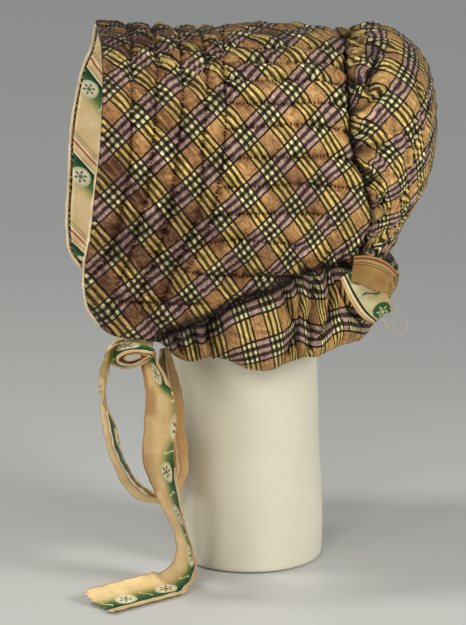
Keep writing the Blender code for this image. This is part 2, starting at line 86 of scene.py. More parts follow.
def area_light(name, place, target, size, power, tint):
    data = bpy.data.lights.new(name, "AREA")
    data.shape = "DISK"
    data.size = size
    data.energy = power
    data.color = tint
    lamp = bpy.data.objects.new(name, data)
    bpy.context.scene.collection.objects.link(lamp)
    look_at(lamp, place, target)


def set_inputs(node, values):
    for name, value in values.items():
        node.inputs[name].default_value = value


def new_material(name, **values):
    """A material, its tree and its Principled shader."""
    material = bpy.data.materials.new(name)
    material.use_nodes = True
    shader = material.node_tree.nodes["Principled BSDF"]
    set_inputs(shader, values)
    return material, material.node_tree, shader


def add(tree, kind, inputs=None, **properties):
    """Adds a node. An input's value is a number, a colour, or another node's output socket."""
    node = tree.nodes.new(kind)
    for name, value in properties.items():
        setattr(node, name, value)
    for name, value in (inputs or {}).items():
        if isinstance(value, bpy.types.NodeSocket):
            tree.links.new(value, node.inputs[name])
        else:
            node.inputs[name].default_value = value
    return node


def ramp(tree, factor, stops):
    """A colour ramp through (place, colour) stops."""
    node = add(tree, "ShaderNodeValToRGB", {"Fac": factor})
    elements = node.color_ramp.elements
    while len(elements) < len(stops):
        elements.new(0.5)
    for element, (place, colour) in zip(elements, stops):
        element.position = place
        element.color = colour
    return node.outputs["Color"]


def math_node(tree, operation, first, second=0.0, third=0.0):
    return add(tree, "ShaderNodeMath", {0: first, 1: second, 2: third}, operation=operation).outputs[0]


def blend_colours(tree, factor, first, second, how="MIX"):
    node = add(tree, "ShaderNodeMix", {0: factor, 6: first, 7: second}, data_type="RGBA", blend_type=how)
    return node.outputs[2]


def times(tree, first, second):
    return blend_colours(tree, 1.0, first, second, how="MULTIPLY")


def noise(tree, where, scale, detail, distortion=0.0, roughness=0.5):
    return add(tree, "ShaderNodeTexNoise", {
        "Vector": where, "Scale": scale, "Detail": detail, "Distortion": distortion, "Roughness": roughness,
    }).outputs["Fac"]


def spread(tree, value, first, last, low=0.0, high=1.0):
    """Runs from low to high while the value goes from first to last, and stays there."""
    return add(tree, "ShaderNodeMapRange", {
        "Value": value, "From Min": first, "From Max": last, "To Min": low, "To Max": high,
    }).outputs[0]


def object_place(tree):
    return add(tree, "ShaderNodeTexCoord").outputs["Object"]


def link_looks(tree, shader, colour, height, strength, distance):
    """Sends a colour and a bump's height to the shader."""
    bump = add(tree, "ShaderNodeBump", {"Strength": strength, "Distance": distance, "Height": height})
    tree.links.new(bump.outputs["Normal"], shader.inputs["Normal"])
    tree.links.new(colour, shader.inputs["Base Color"])


def make_floor():
    half = 6.0
    mesh = bpy.data.meshes.new("floor")
    corners = [(-half, -half, 0), (half, -half, 0), (half, half, 0), (-half, half, 0)]
    mesh.from_pydata([(x, y, z - 0.0002) for x, y, z in corners], [], [(0, 1, 2, 3)])
    floor = bpy.data.objects.new("floor", mesh)
    bpy.context.scene.collection.objects.link(floor)
    material, tree, shader = new_material("floor_paper", Roughness=0.42)
    shader.inputs["Specular IOR Level"].default_value = 0.25
    place = add(tree, "ShaderNodeSeparateXYZ", {0: object_place(tree)})
    # Painted light and shade: the floor's colour is darker about a metre behind the stand and lighter far
    # back, to make up for how the lamps fall off with distance.
    tone = ramp(tree, spread(tree, place.outputs["X"], 0.3, -4.5), [
        (0.0, linear(197, 197, 193)),
        (0.12, linear(190, 190, 186)),
        (0.17, linear(183, 183, 180)),
        (0.29, linear(176, 176, 173)),
        (0.69, linear(214, 214, 211)),
    ])
    tree.links.new(tone, shader.inputs["Base Color"])
    mesh.materials.append(material)


def make_world():
    world = bpy.data.worlds.new("studio")
    bpy.context.scene.world = world
    world.use_nodes = True
    background = world.node_tree.nodes["Background"]
    background.inputs["Color"].default_value = (0.92, 0.97, 1.0, 1.0)
    background.inputs["Strength"].default_value = 0.26


make_camera()
make_world()
make_floor()
area_light("key_right", (1.8, 2.0, 1.5), (0, 0, 0.25), 1.0, 58.0, (1.0, 0.985, 0.95))
area_light("front_fill", (2.4, -1.0, 1.5), (0, 0, 0.3), 1.0, 25.0, (1.0, 0.99, 0.97))
area_light("front_low", (1.3, -1.5, 0.60), (0, 0, 0.28), 0.5, 8.0, (1.0, 0.98, 0.95))
area_light("high_left", (0.0, -1.25, 2.8), (0, 0, 0.25), 0.6, 33.0, (1.0, 0.98, 0.95))
bpy.context.scene.view_settings.view_transform = "Standard"

# Stand: a padded column under a close cover of matt cream cloth, turned under at the
# base. It leans and widens forward near the top, where the bonnet hides it.
STAND_RADIUS = 0.0580
STAND_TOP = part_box("stand")[1][2]
# Columns: up (of the whole height), forward and radius (of STAND_RADIUS)
STAND_SECTIONS = [
    (0.000, 0.000, 0.925),
    (0.0015, 0.000, 0.970),
    (0.006, 0.000, 0.996),
    (0.016, 0.001, 1.002),
    (0.250, 0.040, 0.995),
    (0.345, 0.055, 0.990),
    (0.395, 0.110, 1.030),
    (0.445, 0.155, 1.085),
    (0.700, 0.120, 1.085),
    (0.860, 0.080, 1.020),
    (0.930, 0.060, 0.860),
    (0.975, 0.045, 0.600),
    (1.000, 0.035, 0.250),
]


def read_table(rows, at):
    """The columns after the first, on a smooth curve through the rows, at the given shares."""
    table = np.array(rows, float)
    knots, values = table[:, 0], table[:, 1:]
    slopes = np.gradient(values, knots, axis=0)
    at = np.clip(np.asarray(at, float), knots[0], knots[-1])
    cell = np.clip(np.searchsorted(knots, at, side="right") - 1, 0, len(knots) - 2)
    span = (knots[cell + 1] - knots[cell])[..., None]
    t = (at - knots[cell])[..., None] / span
    leave, arrive = slopes[cell] * span, slopes[cell + 1] * span
    return (
        values[cell] * (1 + 2 * t) * (1 - t) ** 2
        + leave * t * (1 - t) ** 2
        + values[cell + 1] * t * t * (3 - 2 * t)
        + arrive * t * t * (t - 1)
    )


def grid_faces(rows, columns, first=0, turned=False):
    """Quads of a grid of points, as an array of four indices a face."""
    row, column = np.meshgrid(np.arange(rows - 1), np.arange(columns - 1), indexing="ij")
    corner = first + row * columns + column
    quads = np.stack([corner, corner + 1, corner + columns + 1, corner + columns], axis=-1)
    quads = quads.reshape(-1, 4)
    return quads[:, ::-1] if turned else quads


def make_piece(name, points, faces, material, uvs=None):
    """A smooth piece that rides on the object. uvs holds named (n, 2) arrays, one row a point."""
    mesh = bpy.data.meshes.new(name)
    mesh.from_pydata(np.asarray(points, float).tolist(), [], [tuple(int(k) for k in f) for f in faces])
    loops = np.empty(len(mesh.loops), dtype=np.int64)
    mesh.loops.foreach_get("vertex_index", loops)
    for layer, values in (uvs or {}).items():
        data = mesh.uv_layers.new(name=layer).data
        data.foreach_set("uv", np.asarray(values, np.float32)[loops].ravel())
    mesh.shade_smooth()
    mesh.materials.append(material)
    piece = bpy.data.objects.new(name, mesh)
    bpy.context.scene.collection.objects.link(piece)
    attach(piece, "root")
    return piece


def stand_material():
    material, tree, shader = new_material("stand_cloth", Roughness=0.82)
    shader.inputs["Specular IOR Level"].default_value = 0.2
    shader.inputs["Sheen Weight"].default_value = 0.15
    where = object_place(tree)
    tone = ramp(tree, noise(tree, where, 14.0, 3.0), [
        (0.3, linear(206, 200, 180)), (0.7, linear(213, 208, 189)),
    ])
    fleck = ramp(tree, noise(tree, where, 700.0, 3.0), [
        (0.35, (0.975, 0.97, 0.96, 1)), (0.60, (1.02, 1.02, 1.02, 1)),
    ])
    link_looks(tree, shader, times(tree, tone, fleck), noise(tree, where, 900.0, 3.0), 0.25, 0.0004)
    return material


def tube_faces(rings, sides, first=0, turned=False):
    """Faces of a closed tube of rings of points, with a flat face at each end."""
    faces = []
    for ring in range(rings - 1):
        for side in range(sides):
            a = first + ring * sides + side
            b = first + ring * sides + (side + 1) % sides
            faces.append((a, b, b + sides, a + sides))
    last = first + (rings - 1) * sides
    faces.append(tuple(range(first, first + sides))[::-1])
    faces.append(tuple(range(last, last + sides)))
    return [face[::-1] for face in faces] if turned else faces


def make_stand():
    sides, levels = 128, 90
    up = np.linspace(0, 1, levels) ** 1.3
    values = read_table(STAND_SECTIONS, up)
    angle = np.linspace(0, 2 * math.pi, sides + 1)[:-1]
    radius = values[:, 1:2] * STAND_RADIUS
    x = radius * np.cos(angle)
    y = radius * np.sin(angle) - values[:, :1] * STAND_RADIUS
    z = np.repeat(up[:, None] * STAND_TOP, sides, axis=1)
    rings = np.stack([x, y, z], axis=-1)
    faces = tube_faces(levels, sides)
    piece = make_piece("stand_column", rings.reshape(-1, 3), faces, stand_material())
    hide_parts("stand")


make_stand()

# Brim: bias plaid silk, copper tan shot with plum, quilted over thin wadding in running
# stitch. Five lines run round the front half, nine run back to the crown seam, and the
# silk puckers along each. Its form is the CAD's, from the same tables.
LIFT = 0.2085
HEIGHT = 0.2200
HALF_WIDTH = 0.1050
SEAM_HALF_WIDTH = 0.0930
BRIM_DEPTH = 0.1865
FRONT_FORWARD = 0.1130
CROWN_DEPTH = 0.0755
WADDING = 0.0050
EDGE_PRESS = 0.60
EDGE_REACH = 0.12
BRIM_PUFF = 0.0036
BRIM_SINK = 0.0014
STITCH_GROOVE = 0.0010
PUCKER = 0.0009
# One stitch and the gap after it, in mm
STITCH_PERIOD = 2.6
# Front edge from the middle of the top (0) down to the lower corner (1):
# share of the way, across (of HALF_WIDTH), up (of HEIGHT), back (of BRIM_DEPTH)
FRONT_EDGE = [
    (0.00, 0.000, 1.018, -0.034),
    (0.12, 0.400, 1.002, -0.036),
    (0.25, 0.700, 0.940, -0.042),
    (0.38, 0.900, 0.832, -0.052),
    (0.50, 0.985, 0.692, -0.067),
    (0.62, 1.005, 0.540, -0.090),
    (0.74, 1.000, 0.387, -0.110),
    (0.85, 0.985, 0.243, -0.137),
    (0.92, 0.970, 0.147, -0.131),
    (0.97, 0.955, 0.089, -0.110),
    (1.00, 0.945, 0.047, -0.072),
]
# The far side's front edge: share of the way, how much further back (of BRIM_DEPTH)
FAR_EDGE = [
    (0.00, 0.000), (0.12, 0.014), (0.25, 0.027), (0.33, 0.024), (0.40, 0.002),
    (0.52, -0.019), (0.72, -0.014), (0.84, 0.003), (1.00, -0.010),
]
# Seam between brim and crown, the same columns, across as a share of SEAM_HALF_WIDTH
CROWN_SEAM = [
    (0.00, 0.000, 0.962, 1.000),
    (0.15, 0.360, 0.947, 0.983),
    (0.30, 0.675, 0.885, 0.964),
    (0.45, 0.900, 0.780, 0.960),
    (0.60, 0.990, 0.640, 0.965),
    (0.72, 1.010, 0.515, 1.022),
    (0.85, 0.985, 0.392, 1.045),
    (1.00, 0.860, 0.227, 0.992),
]
# Ridge from front edge to seam: share of the way, up (of HEIGHT)
RIDGE = [
    (0.00, 1.018), (0.10, 1.014), (0.25, 1.004), (0.50, 0.999), (0.80, 0.998),
    (0.93, 0.984), (1.00, 0.962),
]
# Lower edge from front corner to nape corner: share of the way, across, up, back
LOWER_EDGE = [
    (0.05, 0.952, 0.018, -0.022),
    (0.11, 0.955, 0.003, 0.035),
    (0.18, 0.957, 0.002, 0.110),
    (0.27, 0.959, 0.030, 0.204),
    (0.35, 0.962, 0.046, 0.273),
    (0.44, 0.964, 0.076, 0.377),
    (0.50, 0.964, 0.114, 0.445),
    (0.58, 0.962, 0.142, 0.528),
    (0.67, 0.955, 0.168, 0.628),
    (0.77, 0.926, 0.208, 0.732),
    (0.88, 0.860, 0.234, 0.858),
]
# Quilting lines of one side, in mm: down from the ridge, back from the front edge
FRONT_LINES = [
    [(0, 22), (66, 21), (131, 22), (158, 23), (199, 18), (220, 14), (240, 6)],
    [(0, 41), (68, 41), (122, 39), (176, 37), (197, 32), (227, 27), (262, 18)],
    [(0, 60), (62, 59), (96, 61), (142, 58), (180, 56), (210, 48), (252, 37)],
    [(0, 77), (78, 79), (139, 77), (162, 79), (189, 74), (216, 65), (258, 52)],
    [(0, 93), (62, 91), (106, 93), (151, 92), (178, 86), (208, 78), (236, 68)],
]
REAR_LINES = [
    [(0, 93), (3, 187)],
    [(43, 93), (46, 128), (41, 187)],
    [(64, 92), (66, 134), (60, 187)],
    [(82, 93), (85, 134), (79, 187)],
    [(103, 94), (106, 141), (97, 187)],
    [(124, 94), (123, 126), (119, 171), (116, 187)],
    [(148, 93), (147, 112), (147, 148), (138, 187)],
    [(169, 88), (169, 116), (166, 171), (160, 187)],
    [(190, 83), (190, 114), (191, 156)],
    [(212, 78), (210, 101), (217, 143)],
    [(233, 66), (239, 93), (244, 139)],
    [(260, 23), (259, 43), (261, 78)],
]
# Where the plaid's groups lie, as counts of groups: the factors of down**a * y**b, in
# metres, for (a, b) in PLAID_TERMS. Yellow groups fall to the back, plum ones rise.
PLAID_TERMS = [(0, 0), (1, 0), (0, 1), (2, 0), (1, 1), (0, 2), (3, 0), (2, 1), (1, 2), (0, 3)]
YELLOW_AT = (4.733, -26.44, 25.02, 17.26, 65.52, -14.80, -17.07, -135.5, 58.73, -235.5)
PLUM_AT = (-0.139, 16.42, 24.11, 17.01, -53.11, 11.76, 13.01, 210.5, 188.9, 323.2)


def both_sides(rows):
    far = [(-row[0], -row[1]) + tuple(row[2:]) for row in rows[:0:-1]]
    return far + list(rows)


def in_metres(shares, half_width):
    across, up, back = shares[..., 0], shares[..., 1], shares[..., 2]
    y = back * BRIM_DEPTH - FRONT_FORWARD
    return np.stack([across * half_width, y, LIFT + up * HEIGHT], axis=-1)


def front_edge(u):
    shares = read_table(both_sides(FRONT_EDGE), u)
    crease_noise = read_table(FAR_EDGE, np.abs(u))[..., 0]
    shares[..., 2] += np.where(np.asarray(u) < 0, crease_noise, 0.0)
    return in_metres(shares, HALF_WIDTH)


def crown_seam(u):
    return in_metres(read_table(both_sides(CROWN_SEAM), u), SEAM_HALF_WIDTH)


def ridge(v):
    up = read_table(RIDGE, v)[..., 0]
    back = v + (1 - v) * FRONT_EDGE[0][3]
    return in_metres(np.stack([0 * up, up, back], axis=-1), HALF_WIDTH)


def lower_edge(v):
    corners = np.array([front_edge(1.0), crown_seam(1.0)])
    middle = in_metres(np.array(LOWER_EDGE)[:, 1:], HALF_WIDTH)
    points = np.vstack([corners[:1], middle, corners[1:]])
    shares = [0.0] + [row[0] for row in LOWER_EDGE] + [1.0]
    return read_table(np.column_stack([shares, points]), v)


def brim_base(u, v):
    """The brim's smooth form: u from the far side (-1) to the near side (1), v to the back."""
    u, v = np.broadcast_arrays(np.asarray(u, float), np.asarray(v, float))
    t = v[..., None]
    side = np.stack([np.where(u < 0, -1.0, 1.0), np.ones_like(u), np.ones_like(u)], axis=-1)
    down = np.abs(u)[..., None]
    lower_share = down * down * (3 - 2 * down)
    across = (1 - t) * front_edge(u) + t * crown_seam(u)
    top_shift = ridge(v) - ((1 - t) * front_edge(0.0) + t * crown_seam(0.0))
    low_shift = (lower_edge(v) - ((1 - t) * front_edge(1.0) + t * crown_seam(1.0))) * side
    return across + (1 - lower_share) * top_shift + lower_share * low_shift


def outward(surface, u, v):
    """The unit normal of a surface of u and v, from short steps along both."""
    step = 0.004
    along_u = surface(np.clip(u + step, -1, 1), v) - surface(np.clip(u - step, -1, 1), v)
    along_v = surface(u, np.clip(v + step, 0, 1)) - surface(u, np.clip(v - step, 0, 1))
    normal = np.cross(along_u, along_v)
    return normal / np.maximum(np.linalg.norm(normal, axis=-1, keepdims=True), 1e-12)


def wadding_at(v):
    return WADDING * (EDGE_PRESS + (1 - EDGE_PRESS) * np.clip(v / EDGE_REACH, 0, 1))


def down_from_ridge(u, v):
    """Length in metres down the side of the brim from its ridge, below 0 on the far side."""
    fine = np.linspace(-1, 1, 401)
    rows = np.linspace(0, 1, 41)
    points = brim_base(*np.meshgrid(fine, rows))[..., [0, 2]]
    length = np.linalg.norm(np.diff(points, axis=1), axis=2)
    run = np.concatenate([np.zeros((len(rows), 1)), np.cumsum(length, axis=1)], axis=1)
    run -= run[:, 200:201]
    at_row, at_column = np.clip(v, 0, 1) * 40, (np.clip(u, -1, 1) + 1) * 200
    row, column = np.minimum(at_row.astype(int), 39), np.minimum(at_column.astype(int), 399)
    p, q = at_row - row, at_column - column
    upper = run[row, column] * (1 - q) + run[row, column + 1] * q
    lower = run[row + 1, column] * (1 - q) + run[row + 1, column + 1] * q
    return upper * (1 - p) + lower * p


def nearest_line(down, back, lines):
    """Distance to the nearest of the stitched lines, and the length along it, in metres."""
    best = np.full(down.shape, 1.0)
    along = np.zeros(down.shape)
    for line in lines:
        run = 0.0
        for (a, b), (c, d) in zip(line, line[1:]):
            start = np.array([a, b]) / 1000
            step = np.array([c - a, d - b]) / 1000
            length = np.hypot(*step)
            share = ((down - start[0]) * step[0] + (back - start[1]) * step[1]) / length**2
            share = np.clip(share, 0, 1)
            gap = np.hypot(down - start[0] - share * step[0], back - start[1] - share * step[1])
            closer = gap < best
            best = np.where(closer, gap, best)
            along = np.where(closer, run + share * length, along)
            run += length
    return best, along


def wrinkles(a, b, length_a, length_b, seed):
    """Soft random folds about length_a by length_b metres in size, about -1.5 to 1.5 high."""
    waves = 9
    rng = np.random.default_rng(seed)
    total = np.zeros(np.broadcast(a, b).shape)
    for _ in range(waves):
        turn_a = 2 * math.pi / length_a * rng.uniform(0.55, 1.5)
        turn_b = 2 * math.pi / length_b * rng.uniform(0.55, 1.5) * rng.choice([-1, 1])
        total += np.sin(turn_a * a + turn_b * b + rng.uniform(0, 2 * math.pi))
    return total / math.sqrt(waves)


def stripe_flags(tree, place, stops):
    """Reads a group of stripes that repeats with each whole number of place. The colour's
    red is 1 on a light stripe, its green 1 inside the group, its blue 1 on an edge line."""
    turn = math_node(tree, "FRACT", math_node(tree, "ADD", place, 0.5))
    middle = math_node(tree, "ABSOLUTE", math_node(tree, "SUBTRACT", turn, 0.5))
    out = math_node(tree, "MULTIPLY", middle, 2.0)
    colours = ramp(tree, out, stops)
    return add(tree, "ShaderNodeSeparateColor", {0: colours}).outputs


def stripe_stops(edges):
    """Ramp stops from (place, flags) rows, each flag pair blurred a little where they meet."""
    soft = 0.012
    stops = []
    for (place, flags), (_, before) in zip(edges[1:], edges):
        stops.append((place - soft, (*before, 1.0)))
        stops.append((place + soft, (*flags, 1.0)))
    return [(0.0, (*edges[0][1], 1.0))] + stops


LIGHT, DARK, EDGE, GROUND = (1, 1, 0), (0, 1, 0), (0, 1, 1), (0, 0, 0)
YELLOW_STRIPES = stripe_stops([(0, LIGHT), (0.086, DARK), (0.268, LIGHT), (0.432, EDGE), (0.550, GROUND)])
PLUM_STRIPES = stripe_stops([(0, LIGHT), (0.088, DARK), (0.272, LIGHT), (0.440, EDGE), (0.528, GROUND)])


def plaid_group():
    """Node group: the plaid's colour from counts of the two stripe groups. The third input turns
    the ground from tan to a darker plum brown; it carries the silk's shot colour and painted shade."""
    tree = bpy.data.node_groups.new("plaid", "ShaderNodeTree")
    for name in ("Yellow", "Plum", "Shot And Shade"):
        tree.interface.new_socket(name, in_out="INPUT", socket_type="NodeSocketFloat")
    tree.interface.new_socket("Color", in_out="OUTPUT", socket_type="NodeSocketColor")
    given = tree.nodes.new("NodeGroupInput").outputs
    light_y, group_y, edge_y = list(stripe_flags(tree, given["Yellow"], YELLOW_STRIPES))[:3]
    light_p, group_p, edge_p = list(stripe_flags(tree, given["Plum"], PLUM_STRIPES))[:3]
    ground = ramp(tree, given["Shot And Shade"], [
        (0.22, linear(212, 168, 106)),
        (0.50, linear(180, 134, 82)),
        (0.85, linear(112, 74, 56)),
    ])
    yellow = blend_colours(tree, light_y, linear(80, 58, 24), linear(224, 196, 114))
    plum = blend_colours(tree, light_p, linear(74, 50, 52), linear(186, 156, 138))
    lights = math_node(tree, "MULTIPLY", math_node(tree, "ADD", light_y, light_p), 0.5)
    check = ramp(tree, lights, [
        (0.06, linear(14, 11, 8)), (0.50, linear(84, 74, 44)), (0.94, linear(238, 230, 172)),
    ])
    one = blend_colours(tree, group_y, ground, yellow)
    two = blend_colours(tree, group_p, one, plum)
    three = blend_colours(tree, math_node(tree, "MULTIPLY", group_y, group_p), two, check)
    edge = math_node(tree, "MULTIPLY", math_node(tree, "MAXIMUM", edge_y, edge_p), 0.88)
    final = blend_colours(tree, edge, three, linear(34, 21, 13))
    out = tree.nodes.new("NodeGroupOutput")
    tree.links.new(final, out.inputs["Color"])
    return tree


PLAID = plaid_group()


def silk_group():
    """Node group: shade and height of uneven silk threads that cross along a map's two axes."""
    tree = bpy.data.node_groups.new("silk_threads", "ShaderNodeTree")
    for name in ("Across", "Along", "Threads"):
        tree.interface.new_socket(name, in_out="INPUT", socket_type="NodeSocketFloat")
    for name in ("Shade", "Height"):
        tree.interface.new_socket(name, in_out="OUTPUT", socket_type="NodeSocketFloat")
    given = tree.nodes.new("NodeGroupInput").outputs
    fine_a = math_node(tree, "MULTIPLY", given["Across"], given["Threads"])
    fine_b = math_node(tree, "MULTIPLY", given["Along"], given["Threads"])
    noises = []
    for x, y in ((fine_a, math_node(tree, "MULTIPLY", fine_b, 0.05)),
                 (math_node(tree, "MULTIPLY", fine_a, 0.05), fine_b)):
        place = add(tree, "ShaderNodeCombineXYZ", {0: x, 1: y}).outputs[0]
        noises.append(noise(tree, place, 1.0, 3.0))
    height = math_node(tree, "MULTIPLY", math_node(tree, "ADD", *noises), 0.5)
    shade = spread(tree, height, 0.34, 0.66, 0.74, 1.16)
    out = tree.nodes.new("NodeGroupOutput")
    tree.links.new(shade, out.inputs["Shade"])
    tree.links.new(height, out.inputs["Height"])
    return tree


SILK = silk_group()


def grey(tree, value):
    return add(tree, "ShaderNodeCombineXYZ", {0: value, 1: value, 2: value}).outputs[0]


def map_parts(tree, name):
    """The two numbers of a UV map."""
    layer = add(tree, "ShaderNodeUVMap", uv_map=name).outputs["UV"]
    return add(tree, "ShaderNodeSeparateXYZ", {0: layer}).outputs


def shaken_counts(tree, where):
    """The plaid's two counts, with each thread a little out of line."""
    counts = add(tree, "ShaderNodeUVMap", uv_map="plaid").outputs["UV"]
    jitter = add(tree, "ShaderNodeTexNoise", {"Vector": where, "Scale": 140.0, "Detail": 2.0})
    moved = add(tree, "ShaderNodeVectorMath", {
        0: jitter.outputs["Color"], 1: (0.5, 0.5, 0.5),
    }, operation="SUBTRACT")
    small = add(tree, "ShaderNodeVectorMath", {0: moved.outputs[0], "Scale": 0.04}, operation="SCALE")
    shifted = add(tree, "ShaderNodeVectorMath", {0: counts, 1: small.outputs[0]}, operation="ADD")
    return add(tree, "ShaderNodeSeparateXYZ", {0: shifted.outputs[0]}).outputs


def shot_and_painted_shade(tree, where, stitched):
    """How far the ground turns to plum brown and darkens. The random cloud is the silk's own shot
    colour; the rise at a grazing angle, towards the front, away from the key light on the right,
    and low on the stitched brim is painted shade.
    """
    facing = add(tree, "ShaderNodeLayerWeight", {"Blend": 0.35}).outputs["Facing"]
    cloudy = math_node(tree, "MULTIPLY_ADD", noise(tree, where, 26.0, 2.0, 0.6), 0.8, 0.1)
    shot_and_shade = math_node(tree, "MULTIPLY_ADD", facing, 0.42 if stitched else 0.20, cloudy)
    spot = add(tree, "ShaderNodeSeparateXYZ", {0: where}).outputs
    shot_and_shade = math_node(tree, "ADD", shot_and_shade, spread(tree, spot["Y"], 0.13, -0.11, -0.30, 0.10))
    if stitched:
        shot_and_shade = math_node(tree, "ADD", shot_and_shade, spread(tree, spot["Z"], 0.38, 0.22, -0.04, 0.12))
    return shot_and_shade


def plaid_material(name, stitched=False):
    """Plaid silk. UV map plaid counts stripe groups; UV map seam holds mm from a stitched
    line and mm along it; the third UV map holds painted shade, 1 where the cloth is deep in a
    gather or crease, and its second number is painted light and shade that multiplies the colour."""
    material, tree, shader = new_material(name, Roughness=0.36)
    shader.inputs["Specular IOR Level"].default_value = 0.22
    where = object_place(tree)
    count = shaken_counts(tree, where)
    shot_and_shade = shot_and_painted_shade(tree, where, stitched)
    plaid = add(tree, "ShaderNodeGroup", node_tree=PLAID)
    tree.links.new(count["X"], plaid.inputs["Yellow"])
    tree.links.new(count["Y"], plaid.inputs["Plum"])
    tree.links.new(shot_and_shade, plaid.inputs["Shot And Shade"])
    threads = add(tree, "ShaderNodeGroup", node_tree=SILK)
    threads.inputs["Threads"].default_value = 48.0
    tree.links.new(count["X"], threads.inputs["Across"])
    tree.links.new(count["Y"], threads.inputs["Along"])
    colour = times(tree, plaid.outputs["Color"], grey(tree, threads.outputs["Shade"]))
    # Painted shade: the further the ground is turned, the darker the whole colour.
    colour = times(tree, colour, ramp(tree, shot_and_shade, [
        (0.45, (1.0, 1.0, 1.0, 1)), (0.78, (0.56, 0.50, 0.50, 1)), (1.05, (0.34, 0.28, 0.28, 1)),
    ]))
    worn = noise(tree, where, 60.0, 7.0, roughness=0.75)
    colour = times(tree, colour, ramp(tree, worn, [
        (0.34, (0.68, 0.64, 0.62, 1)), (0.50, (0.98, 0.98, 0.98, 1)), (0.70, (1.18, 1.17, 1.14, 1)),
    ]))
    # Painted light and shade over broad areas, then painted shade deep in gathers and creases.
    fold = map_parts(tree, "fold")
    colour = times(tree, colour, grey(tree, fold["Y"]))
    colour = blend_colours(tree, fold["X"], colour, linear(18, 11, 9))
    lines = add(tree, "ShaderNodeCombineXYZ", {
        0: math_node(tree, "MULTIPLY", count["X"], 9.0), 1: math_node(tree, "MULTIPLY", count["Y"], 2.2),
    }).outputs[0]
    crease_noise = noise(tree, lines, 1.0, 4.0, 1.1)
    crease_shade_and_glint = math_node(tree, "ABSOLUTE", math_node(tree, "SUBTRACT", crease_noise, 0.5))
    # Painted shade and highlights: thin dark crease lines and brighter glints stretched along the threads.
    colour = times(tree, colour, ramp(tree, crease_shade_and_glint, [
        (0.0, (0.42, 0.36, 0.34, 1)), (0.018, (0.95, 0.95, 0.95, 1)), (0.10, (1.0, 1.0, 1.0, 1)),
        (0.20, (1.30, 1.26, 1.20, 1)),
    ]))
    creased = noise(tree, where, 95.0, 5.0, 1.4)
    height = math_node(tree, "MULTIPLY_ADD", threads.outputs["Height"], 0.25, creased)
    height = math_node(tree, "MULTIPLY_ADD", crease_shade_and_glint, -2.2, height)
    if stitched:
        seam = map_parts(tree, "seam")
        turn = math_node(tree, "FRACT", math_node(tree, "DIVIDE", seam["Y"], STITCH_PERIOD))
        stitch = math_node(
            tree, "MULTIPLY", spread(tree, seam["X"], 1.05, 0.45), spread(tree, turn, 0.42, 0.54))
        # The dark stitch dashes are partly the brown thread and partly painted shade of the dimples it
        # pulls in.
        colour = blend_colours(tree, math_node(tree, "MULTIPLY", stitch, 0.85), colour, linear(44, 22, 14))
        height = math_node(tree, "MULTIPLY_ADD", stitch, -0.7, height)
    line = math_node(tree, "ABSOLUTE", math_node(tree, "SUBTRACT", noise(tree, where, 42.0, 3.0, 1.6), 0.5))
    # Painted shade: thin dark lines where the silk is crumpled.
    crease_line_shade = ramp(tree, line, [
        (0.0, (0.30, 0.24, 0.22, 1)), (0.010, (0.90, 0.90, 0.90, 1)), (0.016, (1.0, 1.0, 1.0, 1)),
    ])
    colour = blend_colours(tree, 0.6, colour, crease_line_shade, how="MULTIPLY")
    height = math_node(tree, "MULTIPLY_ADD", math_node(tree, "MINIMUM", line, 0.03), 12.0, height)
    link_looks(tree, shader, colour, height, 1.0, 0.0024)
    return material


def plaid_counts(down, y):
    """Counts of both stripe groups. Past the ridge the far side goes on straight."""
    terms = np.stack([
        (down if a == 1 else np.clip(down, 0, None) ** a) * y**b for a, b in PLAID_TERMS
    ], axis=-1)
    return np.stack([terms @ np.array(YELLOW_AT), terms @ np.array(PLUM_AT)], axis=-1)


def wrapped_steps(inside, steps):
    """Places from 0 to 1 for the outer face, after a turn round the edge from the inside.
    Columns: place, share of the wall's depth, share of half the wall beyond the edge."""
    rows = [(inside, 1.0, 0.0), (inside / 3, 1.0, 0.0)]
    for angle in np.linspace(math.pi, 0, 7)[1:-1]:
        rows.append((0.0, (1 - math.cos(angle)) / 2, math.sin(angle)))
    rows += [(place, 0.0, 0.0) for place in np.linspace(0, 1, steps)]
    return np.array(rows)


